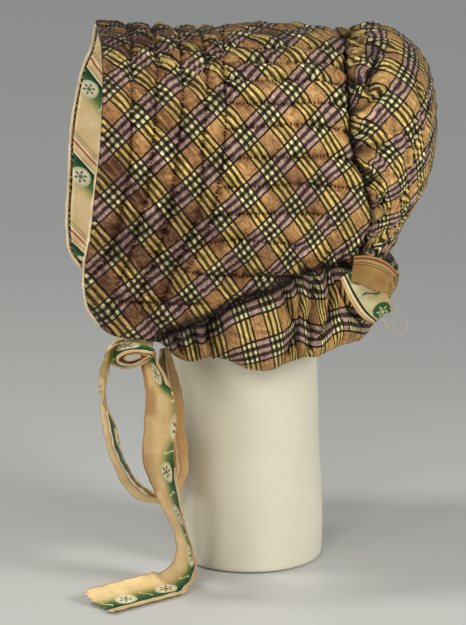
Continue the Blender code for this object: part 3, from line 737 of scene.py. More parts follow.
def make_brim():
    v_rows = wrapped_steps(0.04, 168)
    v_rows[:, 0] *= 0.9975
    half = wrapped_steps(0.02, 232)
    u_rows = np.vstack([half * (-1, 1, 1) + (1, 0, 0), (half - (1, 0, 0))[-2::-1]])
    u, v = np.meshgrid(u_rows[:, 0], v_rows[:, 0])
    depth = np.maximum(u_rows[None, :, 1], v_rows[:, 1:2])
    down, back = down_from_ridge(u, v), v * BRIM_DEPTH
    down_side = np.abs(down)
    front_gap, front_along = nearest_line(down_side, back, FRONT_LINES)
    rear_gap, rear_along = nearest_line(down_side, back, REAR_LINES)
    gap = np.minimum(front_gap, rear_gap)
    along = np.where(front_gap < rear_gap, front_along, rear_along)
    y = brim_base(u, v)[..., 1]
    counts = plaid_counts(down, y)
    full = 1 - (1 - np.clip(gap / 0.0095, 0, 1)) ** 2
    uneven = 1 + 0.25 * wrinkles(down, back, 0.034, 0.034, 3)
    relief = BRIM_PUFF * full * uneven - BRIM_SINK - STITCH_GROOVE * np.exp(-(gap / 0.0013) ** 2)
    by_seam = np.exp(-gap / 0.0050)
    across_front = wrinkles(down, back, 0.0058, 0.040, 11) * np.where(front_gap < rear_gap, 1, 0)
    across_rear = wrinkles(back, down, 0.0064, 0.040, 12) * np.where(front_gap < rear_gap, 0, 1)
    along_stripe = wrinkles(counts[..., 0] * 0.0264, counts[..., 1] * 0.0318, 0.0085, 0.055, 13)
    relief += PUCKER * by_seam * (across_front + across_rear)
    relief += PUCKER * along_stripe * (0.45 + 0.75 * np.exp(-((back - 0.05) / 0.05) ** 2))
    nape = np.hypot(down_side - 0.262, back - 0.180)
    angle = np.arctan2(back - 0.180, down_side - 0.262)
    swirl = np.sin(17 * angle + 2 * wrinkles(down, back, 0.05, 0.05, 14))
    relief += 0.0040 * np.exp(-nape / 0.040) * swirl
    counts = counts + (0.16 * np.exp(-nape / 0.030) * swirl)[..., None]
    relief -= 0.0030 * np.clip((v - 0.975) / 0.025, 0, 1) ** 2
    relief *= 1 - depth
    normal = outward(brim_base, u, v)
    points = brim_base(u, v) + normal * (relief - depth * wadding_at(v))[..., None]
    ahead = brim_base(u, 0 * v) - brim_base(u, 0 * v + 0.03)
    ahead /= np.linalg.norm(ahead, axis=-1, keepdims=True)
    points += ahead * (v_rows[:, 2:3] * 0.5 * wadding_at(0.0))[..., None]
    side = np.sign(u)
    below = np.abs(side)[..., None] * (brim_base(side, v) - brim_base(side * 0.97, v))
    below /= np.maximum(np.linalg.norm(below, axis=-1, keepdims=True), 1e-9)
    points += below * (u_rows[None, :, 2] * 0.35 * wadding_at(v))[..., None]
    seams = np.stack([gap.ravel() * 1000, along.ravel() * 1000], axis=1)
    # Painted shade in the nape swirl's hollows, at the crown seam, where the lower edge turns under, and in
    # pucker valleys.
    painted_dip_shade = np.exp(-nape / 0.040) * np.clip(-swirl, 0, 1) + np.clip((v - 0.975) / 0.025, 0, 1) ** 2
    painted_dip_shade += 1.2 * np.clip((np.abs(u) - 0.980) / 0.012, 0, 1) * (v > 0.22)
    painted_dip_shade += 0.35 * by_seam * np.clip(-across_front - across_rear, 0, 1)
    painted_dip_shade += 0.30 * np.clip(-along_stripe - 0.7, 0, 1)
    # Painted light and shade: darker near the ridge, lighter down the side and towards the back.
    painted_light_and_shade = np.interp(down_side, (0.0, 0.030, 0.070, 0.120, 0.300), (0.54, 0.66, 1.00, 1.16, 1.08))
    painted_light_and_shade += 0.06 * np.clip((back - 0.08) / 0.08, 0, 1)
    painted_shades = np.stack([np.clip(0.75 * painted_dip_shade, 0, 0.9), painted_light_and_shade], axis=-1)
    piece = make_piece(
        "brim_quilted", points.reshape(-1, 3), grid_faces(*u.shape, turned=True),
        plaid_material("plaid_quilted", stitched=True),
        {"plaid": counts.reshape(-1, 2), "seam": seams, "fold": painted_shades.reshape(-1, 2)},
    )
    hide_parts("brim")


make_brim()

# Crown: a bag of the same silk, unquilted, gathered hard into the seam and the nape. Deep
# folds run back from the seam and die out over the rounded rear, which creases downwards.
CROWN_WALL = 0.0020
CROWN_PUFF = 0.0060
# Middle of the crown's back from seam to nape: share, up (of HEIGHT), out (of CROWN_DEPTH)
CROWN_BACK = [
    (0.00, 0.962, 0.000),
    (0.05, 0.976, 0.124),
    (0.12, 0.987, 0.330),
    (0.20, 0.970, 0.517),
    (0.27, 0.939, 0.683),
    (0.34, 0.898, 0.803),
    (0.42, 0.839, 0.881),
    (0.51, 0.762, 0.931),
    (0.60, 0.671, 0.946),
    (0.70, 0.577, 0.928),
    (0.79, 0.485, 0.865),
    (0.87, 0.412, 0.768),
    (0.93, 0.343, 0.665),
    (0.97, 0.262, 0.552),
    (1.00, 0.189, 0.444),
]
# Nape edge from the middle to the corner: share, across (of SEAM_HALF_WIDTH), up, out
NAPE_EDGE = [
    (0.00, 0.000, 0.189, 0.444),
    (0.25, 0.280, 0.191, 0.404),
    (0.50, 0.516, 0.200, 0.285),
    (0.75, 0.720, 0.216, 0.126),
]
# Creases of one side, in mm down along the seam and back over the crown
CROWN_CREASES = [
    [(4, 0), (10, 3), (32, 11), (45, 15)],
    [(52, 0), (52, 8), (54, 17), (53, 28)],
    [(76, 0), (80, 4), (87, 9), (86, 14)],
    [(98, 16), (87, 16), (74, 19), (59, 21)],
    [(112, 0), (110, 6), (109, 13), (105, 20), (101, 27)],
    [(139, 0), (143, 4), (148, 14), (145, 31), (139, 40)],
    [(168, 0), (170, 8), (172, 18)],
    [(195, 0), (194, 20), (185, 40)],
    [(212, 0), (205, 38), (189, 66)],
]
REAR_CREASES = [
    [(68, 50), (87, 60), (102, 72)],
    [(124, 52), (136, 74), (155, 87)],
    [(117, 37), (138, 49), (164, 47)],
    [(101, 52), (116, 68), (128, 83)],
]
# Plaid counts over the crown: terms 1, u, v, uu, uv, vv
CROWN_YELLOW = (4.36, -10.299, 2.864, 3.336, 1.648, -4.035)
CROWN_PLUM = (-1.838, -1.213, 8.128, 7.452, -8.039, 0.742)


def nape_point(across, up, out):
    y = BRIM_DEPTH - FRONT_FORWARD + out * CROWN_DEPTH
    return np.array([across * SEAM_HALF_WIDTH, y, LIFT + up * HEIGHT])


def crown_base(u, v):
    u, v = np.broadcast_arrays(np.asarray(u, float), np.asarray(v, float))
    t = v[..., None]
    rows = [(share,) + tuple(nape_point(*columns)) for share, *columns in NAPE_EDGE]
    rows.append((1.0,) + tuple(crown_seam(1.0)))
    nape = read_table(both_sides(rows), u)
    middle = [(share,) + tuple(nape_point(0, up, out)) for share, up, out in CROWN_BACK]
    middle = read_table(middle, v)
    shift = middle - ((1 - t) * crown_seam(0.0) + t * nape_point(*NAPE_EDGE[0][1:]))
    fade = np.cos(math.pi / 2 * np.abs(u))[..., None] ** 1.1
    return (1 - t) * crown_seam(u) + t * nape + fade * shift


def sheet_shell(outer, inner):
    """Points and faces of a closed sheet between two grids of the same size."""
    rows, columns = outer.shape[:2]
    count = rows * columns
    index = np.arange(count).reshape(rows, columns)
    edge = np.concatenate([index[0], index[1:, -1], index[-1, -2::-1], index[-2:0:-1, 0]])
    after = np.roll(edge, -1)
    rim = np.stack([edge, edge + count, after + count, after], axis=1)
    faces = np.vstack([
        grid_faces(rows, columns), grid_faces(rows, columns, count, turned=True), rim,
    ])
    return np.vstack([outer.reshape(-1, 3), inner.reshape(-1, 3)]), faces


def both_faces(columns):
    return np.vstack([columns, columns])


def crown_relief(u, v):
    """How far the gathers stand out, and how deep in a gather the cloth is, 0 to 1, which the
    material paints as shade.
    """
    side = np.abs(u)
    down, back = side * 0.24, v * 0.17
    wander = 0.0016 * wrinkles(down, back, 0.030, 0.030, 23)
    gap, _ = nearest_line(down + wander, back - wander, CROWN_CREASES)
    rear_gap, _ = nearest_line(down, back, REAR_CREASES)
    by_seam = np.exp(-((v / 0.28) ** 2))
    cut = np.exp(-((gap / 0.0032) ** 1.4))
    relief = by_seam * (0.0062 * (1 - np.exp(-gap / 0.009)) - 0.0060 * cut)
    rear_cut = np.exp(-((rear_gap / 0.0022) ** 2))
    relief -= 0.0014 * rear_cut
    small = wrinkles(down, back, 0.0085, 0.050, 21)
    relief += small * 0.0021 * np.exp(-v / 0.15)
    relief += wrinkles(down, back, 0.0060, 0.030, 24) * 0.0010 * np.exp(-v / 0.10)
    relief += wrinkles(down, back, 0.050, 0.011, 22) * 0.0007 * np.clip((v - 0.15) / 0.3, 0, 1)
    nape = np.clip((v - 0.80) / 0.20, 0, 1) ** 1.5
    ripple = np.sin(side * 75 + 2 * np.sin(9 * side))
    relief += 0.0014 * nape * ripple
    # Painted shade: deep in creases and wrinkle valleys, along the seam and in the nape's ripples.
    depth = by_seam * cut + 0.5 * rear_cut + 0.5 * np.exp(-v / 0.10) * np.clip(-small - 0.3, 0, 1)
    depth += np.exp(-v / 0.018) + nape * np.clip(-ripple, 0, 1) * 0.6
    relief = relief * np.clip((1 - side) / 0.06, 0, 1) - 0.0026 * np.exp(-v / 0.014)
    return relief, np.clip(0.85 * depth, 0, 0.92)


def make_crown():
    half = np.linspace(0, 1, 142) ** 0.9
    u, v = np.meshgrid(np.concatenate([-half[:0:-1], half]), np.linspace(0, 1, 168) ** 1.3)
    puff = CROWN_PUFF * np.sin(math.pi * v) ** 0.6 * np.sin(math.pi * np.abs(u)) ** 0.8
    normal = outward(crown_base, u, v)
    base = crown_base(u, v) + normal * puff[..., None]
    relief, depth = crown_relief(u, v)
    outer = base + normal * relief[..., None]
    inner = outer - normal * CROWN_WALL
    side = np.abs(u)
    terms = np.stack([0 * u + 1, side, v, side * side, side * v, v * v], axis=-1)
    counts = np.stack([terms @ np.array(CROWN_YELLOW), terms @ np.array(CROWN_PLUM)], axis=-1)
    # Painted light and shade: darker over the middle of the crown, lighter towards its sides.
    painted_light_and_shade = np.interp(side, (0.0, 0.22, 0.45, 1.0), (0.66, 0.78, 1.26, 1.14))
    for k in range(2):
        counts[..., k] += 0.07 * np.exp(-v / 0.12) * wrinkles(side * 0.24, v * 0.17, 0.020, 0.022, 25 + k)
    painted_shades = np.stack([depth, painted_light_and_shade], axis=-1)
    points, faces = sheet_shell(outer, inner)
    piece = make_piece(
        "crown_gathered", points, faces, plaid_material("plaid_crown"),
        {"plaid": both_faces(counts.reshape(-1, 2)), "fold": both_faces(painted_shades.reshape(-1, 2))},
    )
    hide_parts("crown")


make_crown()

# Neck frill: a band of the silk gathered under the brim's lower edge and the nape, which
# puffs out and turns back under. Its gathers crease it from top to bottom.
FRILL_WALL = 0.0018
FRILL_DROP = 0.0680
FRILL_BULGE = 0.0160
FRILL_START = 0.18
FRILL_GAP = 0.0012
# Painted light and shade on the frill, lighter in its middle: metres from the front end, share
FRILL_PAINTED_LIGHT_AND_SHADE = [
    (0.0, 0.80), (0.060, 0.85), (0.075, 1.08), (0.105, 1.08), (0.116, 1.30), (0.165, 1.30), (0.185, 1.10),
]
# From the front end to the middle of the nape: share, drop and bulge
FRILL_PUFFS = [
    (0.00, 0.03, 0.05), (0.04, 0.10, 0.16), (0.09, 0.33, 0.50), (0.14, 0.45, 0.55),
    (0.19, 0.47, 0.15), (0.24, 0.60, 0.60), (0.32, 0.85, 0.95), (0.39, 0.95, 0.90),
    (0.44, 0.97, 0.44), (0.47, 0.99, 0.72), (0.50, 1.00, 0.50), (0.53, 1.04, 0.78),
    (0.57, 1.02, 0.52), (0.61, 0.96, 0.74), (0.66, 0.92, 0.64), (0.71, 0.85, 0.36),
    (0.78, 0.70, 0.40), (0.86, 0.56, 0.30), (0.93, 0.50, 0.45), (1.00, 0.48, 0.40),
]

# Creases of one side in mm: along from the front end, down the band
FRILL_CREASES = [
    [(17, 1), (24, 9), (29, 24)],
    [(33, 1), (37, 15), (41, 26), (42, 40)],
    [(53, 0), (51, 14), (55, 28), (57, 45)],
    [(109, 0), (115, 12), (121, 29), (122, 47), (119, 60)],
    [(125, 4), (126, 27), (125, 51), (125, 70)],
    [(138, 3), (139, 23), (136, 41), (137, 65)],
    [(151, 3), (153, 26), (151, 45), (141, 60)],
    [(157, 10), (165, 36), (180, 49)],
    [(190, 2), (194, 30), (198, 50)],
    [(213, 2), (216, 25), (214, 45)],
    [(238, 2), (240, 25), (238, 45)],
]


def frill_path(steps):
    """The line under the lower edges and the nape, near front end to far front end."""
    v = np.linspace(FRILL_START, 1, 60)
    outer = brim_base(1.0, v)
    inner = outer - outward(brim_base, 1 + 0 * v, v) * wadding_at(v)[:, None]
    side = (outer + inner) / 2
    side[:, 2] = np.minimum(outer[:, 2], inner[:, 2])
    half = np.vstack([side, crown_base(np.linspace(1, 0, 30)[1:], 1.0)])
    run = np.concatenate([[0], np.cumsum(np.linalg.norm(np.diff(half, axis=0), axis=1))])
    share = np.linspace(0, 1, steps)
    near = np.column_stack([np.interp(share * run[-1], run, half[:, k]) for k in range(3)])
    far = near[-2::-1] * (-1, 1, 1)
    return np.vstack([near, far]), np.concatenate([share, share[-2::-1]]), run[-1]


def make_frill():
    path, share, length = frill_path(345)
    run = np.gradient(path, axis=0)
    out = np.column_stack([run[:, 1], -run[:, 0], 0 * run[:, 0]])
    for _ in range(60):
        out[1:-1] = (out[:-2] + out[1:-1] + out[2:]) / 3
    out /= np.linalg.norm(out, axis=1, keepdims=True)
    out[np.sum(out * path, axis=1) < 0] *= -1
    drop, bulge = (read_table(FRILL_PUFFS, share) * (FRILL_DROP, FRILL_BULGE)).T
    angles = np.radians(np.linspace(0, 186, 56))
    turn = np.repeat(angles[:, None], len(path), axis=1)
    along = np.repeat((share * length)[None, :], len(angles), axis=0)
    down = drop * (1 - np.cos(turn)) / 2 + FRILL_GAP
    push = bulge * np.sin(turn)
    smooth = path + out[None] * push[..., None] - np.array([0, 0, 1]) * down[..., None]
    steps = np.linalg.norm(np.diff(smooth, axis=0), axis=2)
    fall = np.concatenate([np.zeros((1, len(path))), np.cumsum(steps, axis=0)])
    gap, _ = nearest_line(along + 0.001 * wrinkles(along, fall, 0.02, 0.03, 33), fall, FRILL_CREASES)
    window = np.sin(np.clip(turn, 0.15, math.pi))
    narrow = np.exp(-((share - 0.545) / 0.10) ** 2)[None, :]
    cut = np.exp(-((gap / 0.0028) ** 1.3))
    relief = 0.0056 * (1 - np.exp(-gap / 0.009)) - 0.0070 * cut
    loose = 0.0002 + 0.0009 * narrow + 0.0006 * np.exp(-fall / 0.005)
    relief += wrinkles(along, fall, 0.0075, 0.060, 31) * loose
    relief += wrinkles(along, fall, 0.020, 0.060, 32) * (0.0002 + 0.0006 * narrow)
    relief -= 0.0035 * np.exp(-fall / 0.007)
    outer = smooth + out[None] * (relief * window)[..., None]
    along_turn = np.gradient(outer, axis=0)
    along_run = np.gradient(outer, axis=1)
    normal = np.cross(along_turn, along_run)
    normal /= np.maximum(np.linalg.norm(normal, axis=-1, keepdims=True), 1e-9)
    if np.sum(normal[20] * out) < 0:
        normal = -normal
    inner = outer - normal * FRILL_WALL
    cloth = along + 0.8 * np.clip(along - 0.112, 0, None)
    cloth += 0.0014 * narrow * wrinkles(along, fall, 0.012, 0.05, 34)
    counts = np.stack([
        (cloth - 0.22 * fall - 0.053) / 0.0213,
        (fall - 0.0090 + 0.006 * wrinkles(along, 0 * fall, 0.04, 0.05, 35) * narrow) / 0.0385,
    ], axis=-1)
    # Painted shade in the creases and along the top, where the frill tucks under the brim.
    depth = np.clip(0.5 * cut * window + 1.0 * np.exp(-((fall / 0.0095) ** 1.5)), 0, 0.92)
    # Painted light and shade along the frill.
    painted_light_and_shade = np.interp(along, *np.transpose(FRILL_PAINTED_LIGHT_AND_SHADE))
    painted_shades = np.stack([depth, painted_light_and_shade], axis=-1)
    points, faces = sheet_shell(outer, inner)
    piece = make_piece(
        "neck_frill_gathered", points, faces, plaid_material("plaid_frill"),
        {"plaid": both_faces(counts.reshape(-1, 2)), "fold": both_faces(painted_shades.reshape(-1, 2))},
    )
    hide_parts("neck_frill")


make_frill()

# Brim lining: thin silk with a striped print, tan and gold bands parted by fine brown and
# red lines, and a green band of pale medallions and thin white strokes. Sewn in flat.
LINING = 0.0010
LINING_GAP = 0.0013
PRINT_REPEAT = 53.0
PRINT_STEP = 35.35
# Colours across one repeat, from the green band's dark side, in mm
PRINT_BANDS = [
    (0.0, (20, 66, 40)), (3.0, (34, 92, 52)), (9.0, (92, 122, 64)), (14.0, (196, 182, 124)),
    (17.0, (226, 202, 150)), (24.0, (234, 210, 162)), (32.0, (230, 202, 152)),
    (38.8, (226, 196, 144)), (39.0, (112, 76, 42)), (39.4, (112, 76, 42)), (39.6, (232, 208, 160)),
    (40.7, (232, 208, 160)), (40.9, (112, 76, 42)), (41.3, (112, 76, 42)), (41.5, (236, 216, 172)),
    (43.8, (236, 216, 172)), (44.1, (176, 52, 38)), (45.2, (180, 60, 44)), (45.5, (230, 208, 162)),
    (49.2, (220, 190, 138)), (49.6, (128, 88, 50)), (50.2, (238, 224, 188)), (51.3, (236, 222, 186)),
    (51.7, (22, 38, 28)), (53.0, (20, 58, 36)),
]


def print_group():
    """Node group: the print's colour from mm across the bands and mm along them."""
    tree = bpy.data.node_groups.new("medallion_print", "ShaderNodeTree")
    for name in ("Across", "Along", "Wrong Side", "Reversed"):
        tree.interface.new_socket(name, in_out="INPUT", socket_type="NodeSocketFloat")
    tree.interface.new_socket("Color", in_out="OUTPUT", socket_type="NodeSocketColor")
    given = tree.nodes.new("NodeGroupInput").outputs
    repeats = math_node(tree, "DIVIDE", given["Across"], PRINT_REPEAT)
    share = math_node(tree, "FRACT", repeats)
    half_drop = math_node(tree, "MULTIPLY", math_node(tree, "FLOOR", repeats), 0.5)
    bands = ramp(tree, share, [(place / PRINT_REPEAT, linear(*rgb)) for place, rgb in PRINT_BANDS])
    across = math_node(tree, "SUBTRACT", math_node(tree, "MULTIPLY", share, PRINT_REPEAT), 8.2)

    def from_middle(shift):
        turn = math_node(tree, "ADD", math_node(tree, "DIVIDE", given["Along"], PRINT_STEP), shift)
        turn = math_node(tree, "ADD", turn, half_drop)
        return math_node(tree, "MULTIPLY", math_node(
            tree, "SUBTRACT", math_node(tree, "FRACT", turn), 0.5), PRINT_STEP)

    def below(value, limit, soft):
        return spread(tree, value, limit + soft, limit - soft)

    along = from_middle(0.0)
    a = math_node(tree, "DIVIDE", along, 8.4)
    b = math_node(tree, "DIVIDE", across, 7.2)
    out = math_node(tree, "SQRT", math_node(
        tree, "ADD", math_node(tree, "MULTIPLY", a, a), math_node(tree, "MULTIPLY", b, b)))
    angle = math_node(tree, "ARCTAN2", b, a)
    lobes = math_node(tree, "COSINE", math_node(tree, "MULTIPLY", angle, 6.0))
    reach = math_node(tree, "MULTIPLY_ADD", lobes, 0.22, 0.46)
    sprig = below(math_node(tree, "SUBTRACT", out, reach), 0.0, 0.07)
    hole = below(math_node(tree, "ABSOLUTE", math_node(tree, "SUBTRACT", out, 0.27)), 0.05, 0.03)
    sprig = math_node(tree, "MULTIPLY", sprig, math_node(tree, "SUBTRACT", 1.0, hole))
    oval = below(out, 1.0, 0.05)
    rim = below(math_node(tree, "ABSOLUTE", math_node(tree, "SUBTRACT", out, 0.88)), 0.035, 0.03)
    green_band = below(share, 15.5 / PRINT_REPEAT, 1.5 / PRINT_REPEAT)
    washed = math_node(tree, "MULTIPLY", green_band, given["Reversed"])
    bands = blend_colours(tree, washed, bands, linear(208, 206, 170))
    disc = blend_colours(tree, given["Reversed"], linear(226, 222, 188), linear(38, 98, 54))
    mark = blend_colours(tree, given["Reversed"], linear(26, 66, 42), linear(206, 214, 184))
    colour = blend_colours(tree, oval, bands, disc)
    colour = blend_colours(tree, math_node(tree, "MULTIPLY", rim, 0.55), colour, linear(86, 104, 62))
    colour = blend_colours(tree, math_node(tree, "MULTIPLY", sprig, 0.85), colour, mark)
    between = from_middle(0.5)
    bend = math_node(tree, "MULTIPLY", math_node(
        tree, "SINE", math_node(tree, "MULTIPLY", across, 0.42)), 2.6)
    away = math_node(tree, "ABSOLUTE", math_node(tree, "SUBTRACT", between, bend))
    stroke = math_node(
        tree, "MULTIPLY", below(away, 0.55, 0.25), below(math_node(tree, "ABSOLUTE", across), 5.2, 0.6))
    dash = blend_colours(tree, given["Reversed"], linear(232, 226, 196), linear(30, 60, 38))
    colour = blend_colours(tree, stroke, colour, dash)
    pale = blend_colours(tree, 0.62, colour, linear(205, 172, 120))
    colour = blend_colours(tree, given["Wrong Side"], colour, pale)
    out_node = tree.nodes.new("NodeGroupOutput")
    tree.links.new(colour, out_node.inputs["Color"])
    return tree


PRINT = print_group()


def fibre_group():
    """Node group: shade and height of fine loose fibres, Dark to Light times as bright."""
    tree = bpy.data.node_groups.new("loose_fibre", "ShaderNodeTree")
    tree.interface.new_socket("Where", in_out="INPUT", socket_type="NodeSocketVector")
    for name in ("Scale", "Dark", "Light"):
        tree.interface.new_socket(name, in_out="INPUT", socket_type="NodeSocketFloat")
    for name in ("Shade", "Height"):
        tree.interface.new_socket(name, in_out="OUTPUT", socket_type="NodeSocketFloat")
    given = tree.nodes.new("NodeGroupInput").outputs
    height = noise(tree, given["Where"], given["Scale"], 2.0)
    shade = spread(tree, height, 0.3, 0.7, given["Dark"], given["Light"])
    out = tree.nodes.new("NodeGroupOutput")
    tree.links.new(shade, out.inputs["Shade"])
    tree.links.new(height, out.inputs["Height"])
    return tree


FIBRE = fibre_group()


def print_material(name, stain_and_shade, reversed_print=0.0, tone=(1.0, 1.0, 1.0)):
    """Printed silk. UV map print holds mm across and along the bands; UV map side holds 1 on
    the wrong side, and how near an edge the cloth is."""
    material, tree, shader = new_material(name, Roughness=0.5)
    shader.inputs["Specular IOR Level"].default_value = 0.22
    where = object_place(tree)
    place, side = map_parts(tree, "print"), map_parts(tree, "side")
    group = add(tree, "ShaderNodeGroup", node_tree=PRINT)
    tree.links.new(place["X"], group.inputs["Across"])
    tree.links.new(place["Y"], group.inputs["Along"])
    tree.links.new(side["X"], group.inputs["Wrong Side"])
    group.inputs["Reversed"].default_value = reversed_print
    # Dirt in a random cloud, times a tone: a tint on most pieces, and painted shade all over the nape flap.
    dirty_and_shaded = [a * b for a, b in zip(tone, linear(200, 156, 96))]
    dirt_and_shade = ramp(tree, noise(tree, where, 38.0, 5.0, 0.5), [(0.35, (*tone, 1)), (0.75, (*dirty_and_shaded, 1))])
    colour = blend_colours(tree, stain_and_shade, group.outputs["Color"], dirt_and_shade, how="MULTIPLY")
    fibre = add(tree, "ShaderNodeGroup", node_tree=FIBRE)
    tree.links.new(where, fibre.inputs["Where"])
    set_inputs(fibre, {"Scale": 800.0, "Dark": 0.88, "Light": 1.06})
    colour = times(tree, colour, grey(tree, fibre.outputs["Shade"]))
    colour = blend_colours(tree, math_node(tree, "MULTIPLY", side["Y"], 0.55), colour, linear(150, 104, 54))
    creased = noise(tree, where, 120.0, 4.0, 0.8)
    height = math_node(tree, "MULTIPLY_ADD", fibre.outputs["Height"], 0.15, creased)
    link_looks(tree, shader, colour, height, 0.4, 0.0010)
    return material


def make_lining():
    u, v = np.meshgrid(np.linspace(-0.985, 0.985, 300), np.linspace(0.004, 0.970, 90))
    normal = outward(brim_base, u, v)
    down, back = down_from_ridge(u, v), v * BRIM_DEPTH
    side = np.abs(down)
    soft = 0.0005 * wrinkles(side, back, 0.030, 0.045, 41) + 0.0003 * wrinkles(side, back, 0.011, 0.030, 42)
    depth = wadding_at(v) + LINING_GAP + np.clip(0.0004 + soft, 0, None)
    outer = brim_base(u, v) - normal * depth[..., None]
    inner = outer - normal * LINING
    marks = np.stack([(side - back) * 707.1 - 27.3, (side + back) * 707.1 + 8.2], axis=-1)
    points, faces = sheet_shell(outer, inner)
    plain = np.zeros((len(points), 2))
    piece = make_piece(
        "lining_printed", points, faces, print_material("print_lining", 0.15),
        {"print": both_faces(marks.reshape(-1, 2)), "side": plain},
    )
    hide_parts("brim_lining")


make_lining()

# Edge binding: a narrow cream silk roll sewn along the front edge, fuller towards the
# lower corners, where it has worn.
BINDING = 0.0030
BINDING_STITCH = 0.0035


def binding_material():
    material, tree, shader = new_material("binding_silk", Roughness=0.5)
    where = object_place(tree)
    cloudy = noise(tree, where, 60.0, 6.0, roughness=0.7)
    tone = ramp(tree, cloudy, [
        (0.38, linear(236, 220, 182)), (0.58, linear(218, 194, 148)), (0.74, linear(146, 104, 60)),
    ])
    fibre = add(tree, "ShaderNodeGroup", node_tree=FIBRE)
    tree.links.new(where, fibre.inputs["Where"])
    set_inputs(fibre, {"Scale": 900.0, "Dark": 0.84, "Light": 1.08})
    colour = times(tree, tone, grey(tree, fibre.outputs["Shade"]))
    height = math_node(tree, "MULTIPLY_ADD", fibre.outputs["Height"], 0.4, cloudy)
    link_looks(tree, shader, colour, height, 0.6, 0.0012)
    return material


def make_binding():
    u = np.linspace(-1, 1, 500)
    flat = 0 * u
    normal = outward(brim_base, u, flat)
    front = brim_base(u, flat) - normal * (wadding_at(0.0) / 2)
    run = np.gradient(front, axis=0)
    forward = np.cross(normal, run)
    forward /= np.linalg.norm(forward, axis=1, keepdims=True)
    behind = brim_base(u, flat + 0.03) - brim_base(u, flat)
    forward[np.sum(forward * behind, axis=1) > 0] *= -1
    length = np.concatenate([[0], np.cumsum(np.linalg.norm(np.diff(front, axis=0), axis=1))])
    lumps = 1 + 0.10 * np.sin(length / BINDING_STITCH * 2 * math.pi)
    lumps += 0.08 * wrinkles(length, 0 * length, 0.02, 0.1, 51)
    fuller = 0.42 + 0.58 * np.clip((u - 0.42) / 0.25, 0, 1) + 0.50 * np.clip(-u / 0.2, 0, 1)
    radius = BINDING / 2 * lumps * fuller
    centre = front + forward * radius[:, None]
    angles = np.linspace(0, 2 * math.pi, 13)[:-1]
    rings = centre[:, None] + radius[:, None, None] * (
        np.cos(angles)[:, None] * normal[:, None] + np.sin(angles)[:, None] * forward[:, None]
    )
    faces = tube_faces(len(u), len(angles), turned=True)
    piece = make_piece("edge_binding", rings.reshape(-1, 3), faces, binding_material())
    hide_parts("brim_piping")


make_binding()

# Near tie: a ribbon cut from the lining's silk, hemmed on both edges. It leaves the lower
# corner, passes a loose half bow, hangs in a long loop and ends in a tail on the table.
RIBBON_WIDTH = 0.0380
RIBBON_WALL = 0.0010
# Columns: out (of HALF_WIDTH), back (of BRIM_DEPTH), up (of LIFT), width (of RIBBON_WIDTH),
# turn of the width about the run in degrees
STUB = [
    (0.8790, 0.080, 1.130, 0.50, 90),
    (0.8795, 0.080, 1.060, 0.50, 90),
    (0.8930, 0.082, 0.978, 0.50, 90),
]
KNOT = [
    (0.935, 0.137, 0.960, 0.40, -24),
    (0.935, 0.070, 0.972, 0.46, -24),
    (0.935, 0.005, 0.965, 0.50, -24),
    (0.935, -0.027, 0.941, 0.50, -24),
    (0.935, -0.027, 0.913, 0.48, -24),
    (0.935, 0.005, 0.894, 0.46, -24),
    (0.935, 0.054, 0.892, 0.44, -24),
    (0.935, 0.099, 0.909, 0.40, -24),
    (0.935, 0.134, 0.933, 0.34, -24),
    (0.932, 0.112, 0.951, 0.34, -24),
    (0.930, 0.060, 0.957, 0.38, -24),
    (0.930, 0.010, 0.948, 0.40, -24),
    (0.930, 0.000, 0.929, 0.40, -24),
    (0.930, 0.020, 0.911, 0.38, -24),
    (0.930, 0.062, 0.910, 0.34, -24),
    (0.930, 0.090, 0.922, 0.28, -24),
]
LOOP = [
    (0.935, 0.022, 0.990, 0.50, 0),
    (0.935, -0.015, 0.983, 0.52, 4),
    (0.938, -0.042, 0.956, 0.56, 12),
    (0.943, -0.053, 0.905, 0.62, 20),
    (0.948, -0.064, 0.840, 0.72, 18),
    (0.952, -0.066, 0.776, 0.85, 4),
    (0.952, -0.052, 0.715, 0.95, -10),
    (0.950, -0.036, 0.650, 1.00, -14),
    (0.933, -0.023, 0.587, 1.00, -14),
    (0.886, 0.006, 0.516, 1.00, -16),
    (0.762, 0.047, 0.442, 1.00, -20),
    (0.600, 0.100, 0.368, 1.00, -28),
    (0.500, 0.156, 0.327, 1.00, -33),
    (0.467, 0.213, 0.324, 1.00, -35),
    (0.476, 0.247, 0.376, 1.00, -35),
    (0.533, 0.249, 0.464, 1.00, -35),
    (0.610, 0.232, 0.562, 1.00, -35),
    (0.667, 0.226, 0.680, 0.95, -35),
    (0.670, 0.212, 0.785, 0.80, -35),
    (0.655, 0.202, 0.870, 0.58, -32),
    (0.640, 0.200, 0.918, 0.46, -30),
]
TAIL = [
    (0.838, 0.1255, 0.932, 0.42, -38),
    (0.852, 0.132, 0.885, 0.52, -40),
    (0.892, 0.150, 0.835, 0.66, -42),
    (0.925, 0.168, 0.780, 0.80, -40),
    (0.962, 0.172, 0.700, 0.95, -36),
    (0.970, 0.164, 0.610, 1.00, -32),
    (0.967, 0.165, 0.520, 1.00, -36),
    (0.943, 0.192, 0.423, 1.00, -30),
    (0.914, 0.219, 0.335, 1.00, -22),
    (0.876, 0.248, 0.258, 1.00, -16),
    (0.829, 0.277, 0.182, 1.00, -14),
    (0.795, 0.288, 0.112, 1.00, -18),
    (0.785, 0.270, 0.055, 1.00, -18),
    (0.815, 0.225, 0.026, 1.00, -12),
    (0.870, 0.180, 0.0235, 1.00, -11),
    (0.950, 0.108, 0.0235, 1.00, -11),
    (1.083, -0.010, 0.0235, 1.00, -11),
    (1.210, -0.122, 0.0235, 1.00, -11),
]
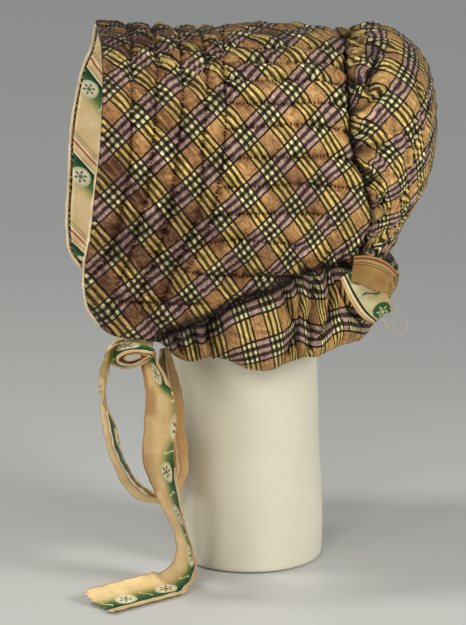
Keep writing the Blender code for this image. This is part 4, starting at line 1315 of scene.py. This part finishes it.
FAR_TIE = [
    (-0.890, 0.080, 1.130, 0.50, 0),
    (-0.890, 0.080, 1.060, 0.50, 0),
    (-0.870, 0.080, 1.005, 0.55, 0),
    (-0.780, 0.080, 0.975, 0.60, 6),
    (-0.500, 0.078, 0.948, 0.62, 12),
    (0.000, 0.076, 0.928, 0.62, 12),
    (0.500, 0.078, 0.942, 0.58, 6),
    (0.870, 0.080, 0.958, 0.36, 0),
]
# The print across the ribbon, in mm: at its first edge and at its other edge
RIBBON_PRINT = (30.0, -6.8)
RIBBON_STEP = 0.906


def ribbon_rows(rows):
    table = np.array(rows, float)
    x = table[:, 0] * HALF_WIDTH
    y = table[:, 1] * BRIM_DEPTH - FRONT_FORWARD
    z = table[:, 2] * LIFT
    chord = np.linalg.norm(np.diff(np.column_stack([x, y, z]), axis=0), axis=1)
    run = np.concatenate([[0], np.cumsum(chord)])
    return np.column_stack([run / run[-1], x, y, z, table[:, 3], table[:, 4]]), run[-1]


def ribbon(name, node, rows, material, steps=200, curl=0.0, cut=RIBBON_WIDTH,
           lies=(1.0, 0.0, 0.0), printed=RIBBON_PRINT, start=0.0, frayed=0.0,
           stains=(), slid=((0, 0),)):
    """A flat strip along a path. A turn of 0 puts its width as near as it can to lies. A
    bunched strip is one layer of what the cut cloth gives when it's squeezed together.
    Stains are in mm along, share across, half length in mm, half width as a share. Slid moves
    the print at the second edge further across, as though that much cloth were folded out of
    sight, in mm, at some mm along."""
    table, length = ribbon_rows(rows)
    values = read_table(table, np.linspace(0, 1, steps))
    path, width, turn = values[:, :3], values[:, 3] * cut, np.radians(values[:, 4])
    run = np.gradient(path, axis=0)
    run /= np.linalg.norm(run, axis=1, keepdims=True)
    side = np.array(lies) - run * (run @ np.array(lies))[:, None]
    side /= np.linalg.norm(side, axis=1, keepdims=True)
    face = np.cross(run, side)
    across = side * np.cos(turn)[:, None] + face * np.sin(turn)[:, None]
    normal = np.cross(run, across)
    shares = np.linspace(-0.5, 0.5, 25)
    bow = curl * (4 * shares * shares - 0.5)
    line = np.linspace(0, length, steps)
    soft = 0.0002 * wrinkles(*np.meshgrid(line, shares * cut), 0.018, 0.03, len(rows))
    middle = path[None] + across[None] * (shares[:, None] * width[None])[..., None]
    middle += normal[None] * (bow[:, None] * width[None] + soft)[..., None]
    torn = np.random.default_rng(steps).uniform(0, frayed, len(shares))[:, None, None]
    middle -= run[None] * torn * (np.clip(line - (length - 0.008), 0, None) / 0.008)[None, :, None]
    half = normal[None] * RIBBON_WALL / 2
    points, faces = sheet_shell(middle + half, middle - half)
    marks = np.interp(shares + 0.5, (0, 1), printed)
    hidden = np.interp(line * 1000, *np.array(slid, float).T)
    marks = marks[:, None] + (shares + 0.5)[:, None] * hidden[None]
    uv = np.stack(np.broadcast_arrays(marks, line[None] * 1000 * RIBBON_STEP + start), axis=-1)
    edge = np.clip((np.abs(shares) * 2 - 0.94) / 0.06, 0, 1)
    near = np.repeat(edge[:, None], steps, axis=1)
    for at, over, half_length, half_width in stains:
        spot = ((line[None] * 1000 - at) / half_length) ** 4
        spot = spot + ((shares[:, None] + 0.5 - over) / half_width) ** 4
        near = np.maximum(near, 1.3 * np.exp(-spot))
    both = [np.stack([0 * near + wrong, near], axis=-1).reshape(-1, 2) for wrong in (0, 1)]
    piece = make_piece(name, points, faces, material, {
        "print": both_faces(uv.reshape(-1, 2)), "side": np.vstack(both),
    })
    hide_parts(node)
    return piece


RIBBON_SILK = print_material("print_ribbon", 0.45, tone=(1.06, 1.0, 0.84))
ribbon("tie_stub_ribbon", "tie_stub", STUB, RIBBON_SILK, steps=40)
ribbon("tie_knot_ribbon", "tie_knot", KNOT, RIBBON_SILK, steps=160, printed=(24.0, -6.0),
       stains=[(105, 0.5, 20, 0.9)])
ribbon("tie_loop_ribbon", "tie_loop", LOOP, RIBBON_SILK, curl=0.05, steps=260, printed=(-7.3, 6.0),
       start=14.6, stains=[(250, 0.5, 62, 0.9)])
ribbon("tie_tail_ribbon", "tie_tail", TAIL, RIBBON_SILK, curl=0.08, steps=260, frayed=0.006,
       start=1.4, stains=[(40, 0.12, 14, 0.22), (22, 0.05, 22, 0.12)],
       slid=[(0, 0), (28, 0), (38, 17), (64, 17), (98, 0)])

# Far tie: the same ribbon from the far corner, straight across under the chin to the knot.
ribbon("far_tie_ribbon", "far_tie", FAR_TIE, RIBBON_SILK, lies=(0.0, 1.0, 0.0))

# Turned-back lining at the near nape corner: two layers of the printed silk, hanging out
# over the frill, with raw edges.
TURNBACK_WIDTH = 0.0460
TURNBACK = [
    (0.882, 0.966, 1.224, 0.46, 0),
    (0.896, 1.012, 1.159, 0.58, 0),
    (0.884, 1.060, 1.091, 0.58, 0),
    (0.844, 1.102, 1.035, 0.40, 0),
]
FLAP = [
    (0.903, 0.968, 1.234, 0.44, 0),
    (0.925, 1.025, 1.228, 0.52, 0),
    (0.938, 1.086, 1.205, 0.52, -22),
    (0.928, 1.142, 1.173, 0.40, -34),
]
# Threads pulled out of the raw edge, in mm back and up from the turnback's lowest corner
LOOSE_THREADS = [
    [(2, -3), (5, -10), (13, -15), (20, -9), (18, -3)],
    [(8, 14), (11, 8), (14, 0), (14, -9), (11, -10)],
    [(3, 14), (7, 5), (5, -3)],
    [(-1, 1), (2, -6), (6, -8), (9, -4)],
]


def loose_threads():
    out, back, up = TURNBACK[-1][:3]
    corner = np.array([out * HALF_WIDTH, back * BRIM_DEPTH - FRONT_FORWARD, up * LIFT])
    points, faces = [], []
    for number, line in enumerate(LOOSE_THREADS):
        line = np.array(line, float) / 1000
        steps = np.linspace(0, len(line) - 1, 14 * len(line))
        path = np.column_stack([np.interp(steps, range(len(line)), line[:, k]) for k in range(2)])
        for _ in range(40):
            path[1:-1] = (path[:-2] + path[1:-1] + path[2:]) / 3
        run = np.gradient(path, axis=0)
        run /= np.linalg.norm(run, axis=1, keepdims=True)
        first = len(points)
        for (back, up), (run_back, run_up) in zip(path, run):
            for angle in np.linspace(0, 2 * math.pi, 6)[:-1]:
                wide, deep = 0.00025 * math.cos(angle), 0.00025 * math.sin(angle)
                points.append(corner + (deep + 0.001 * number, back - wide * run_up, up + wide * run_back))
        faces += tube_faces(len(path), 5, first)
    material, tree, shader = new_material("thread_silk", Roughness=0.6)
    fibre = noise(tree, object_place(tree), 500.0, 2.0)
    tone = ramp(tree, fibre, [(0.3, linear(150, 116, 70)), (0.7, linear(222, 200, 152))])
    tree.links.new(tone, shader.inputs["Base Color"])
    return make_piece("nape_threads", np.array(points), faces, material)


THREADS = loose_threads()
TURNBACK_SILK = print_material("print_turnback", 0.8, 1.0, (0.92, 0.90, 0.78))
# Painted shade: the nape flap is the print silk darkened to brown all over.
SHADED_FLAP_SILK = print_material("print_flap_shaded", 1.0, 0.0, (0.42, 0.35, 0.21))
ribbon("nape_turnback_silk", "nape_turnback", TURNBACK, TURNBACK_SILK, 80,
       cut=TURNBACK_WIDTH, lies=(0.00, 0.84, 0.54), printed=(-5.0, 16.0), start=14.0, frayed=0.004)
ribbon("nape_flap_silk", "nape_flap", FLAP, SHADED_FLAP_SILK, 80,
       cut=TURNBACK_WIDTH, lies=(0.10, 0.45, 0.88), printed=(22.0, 47.0), frayed=0.005)
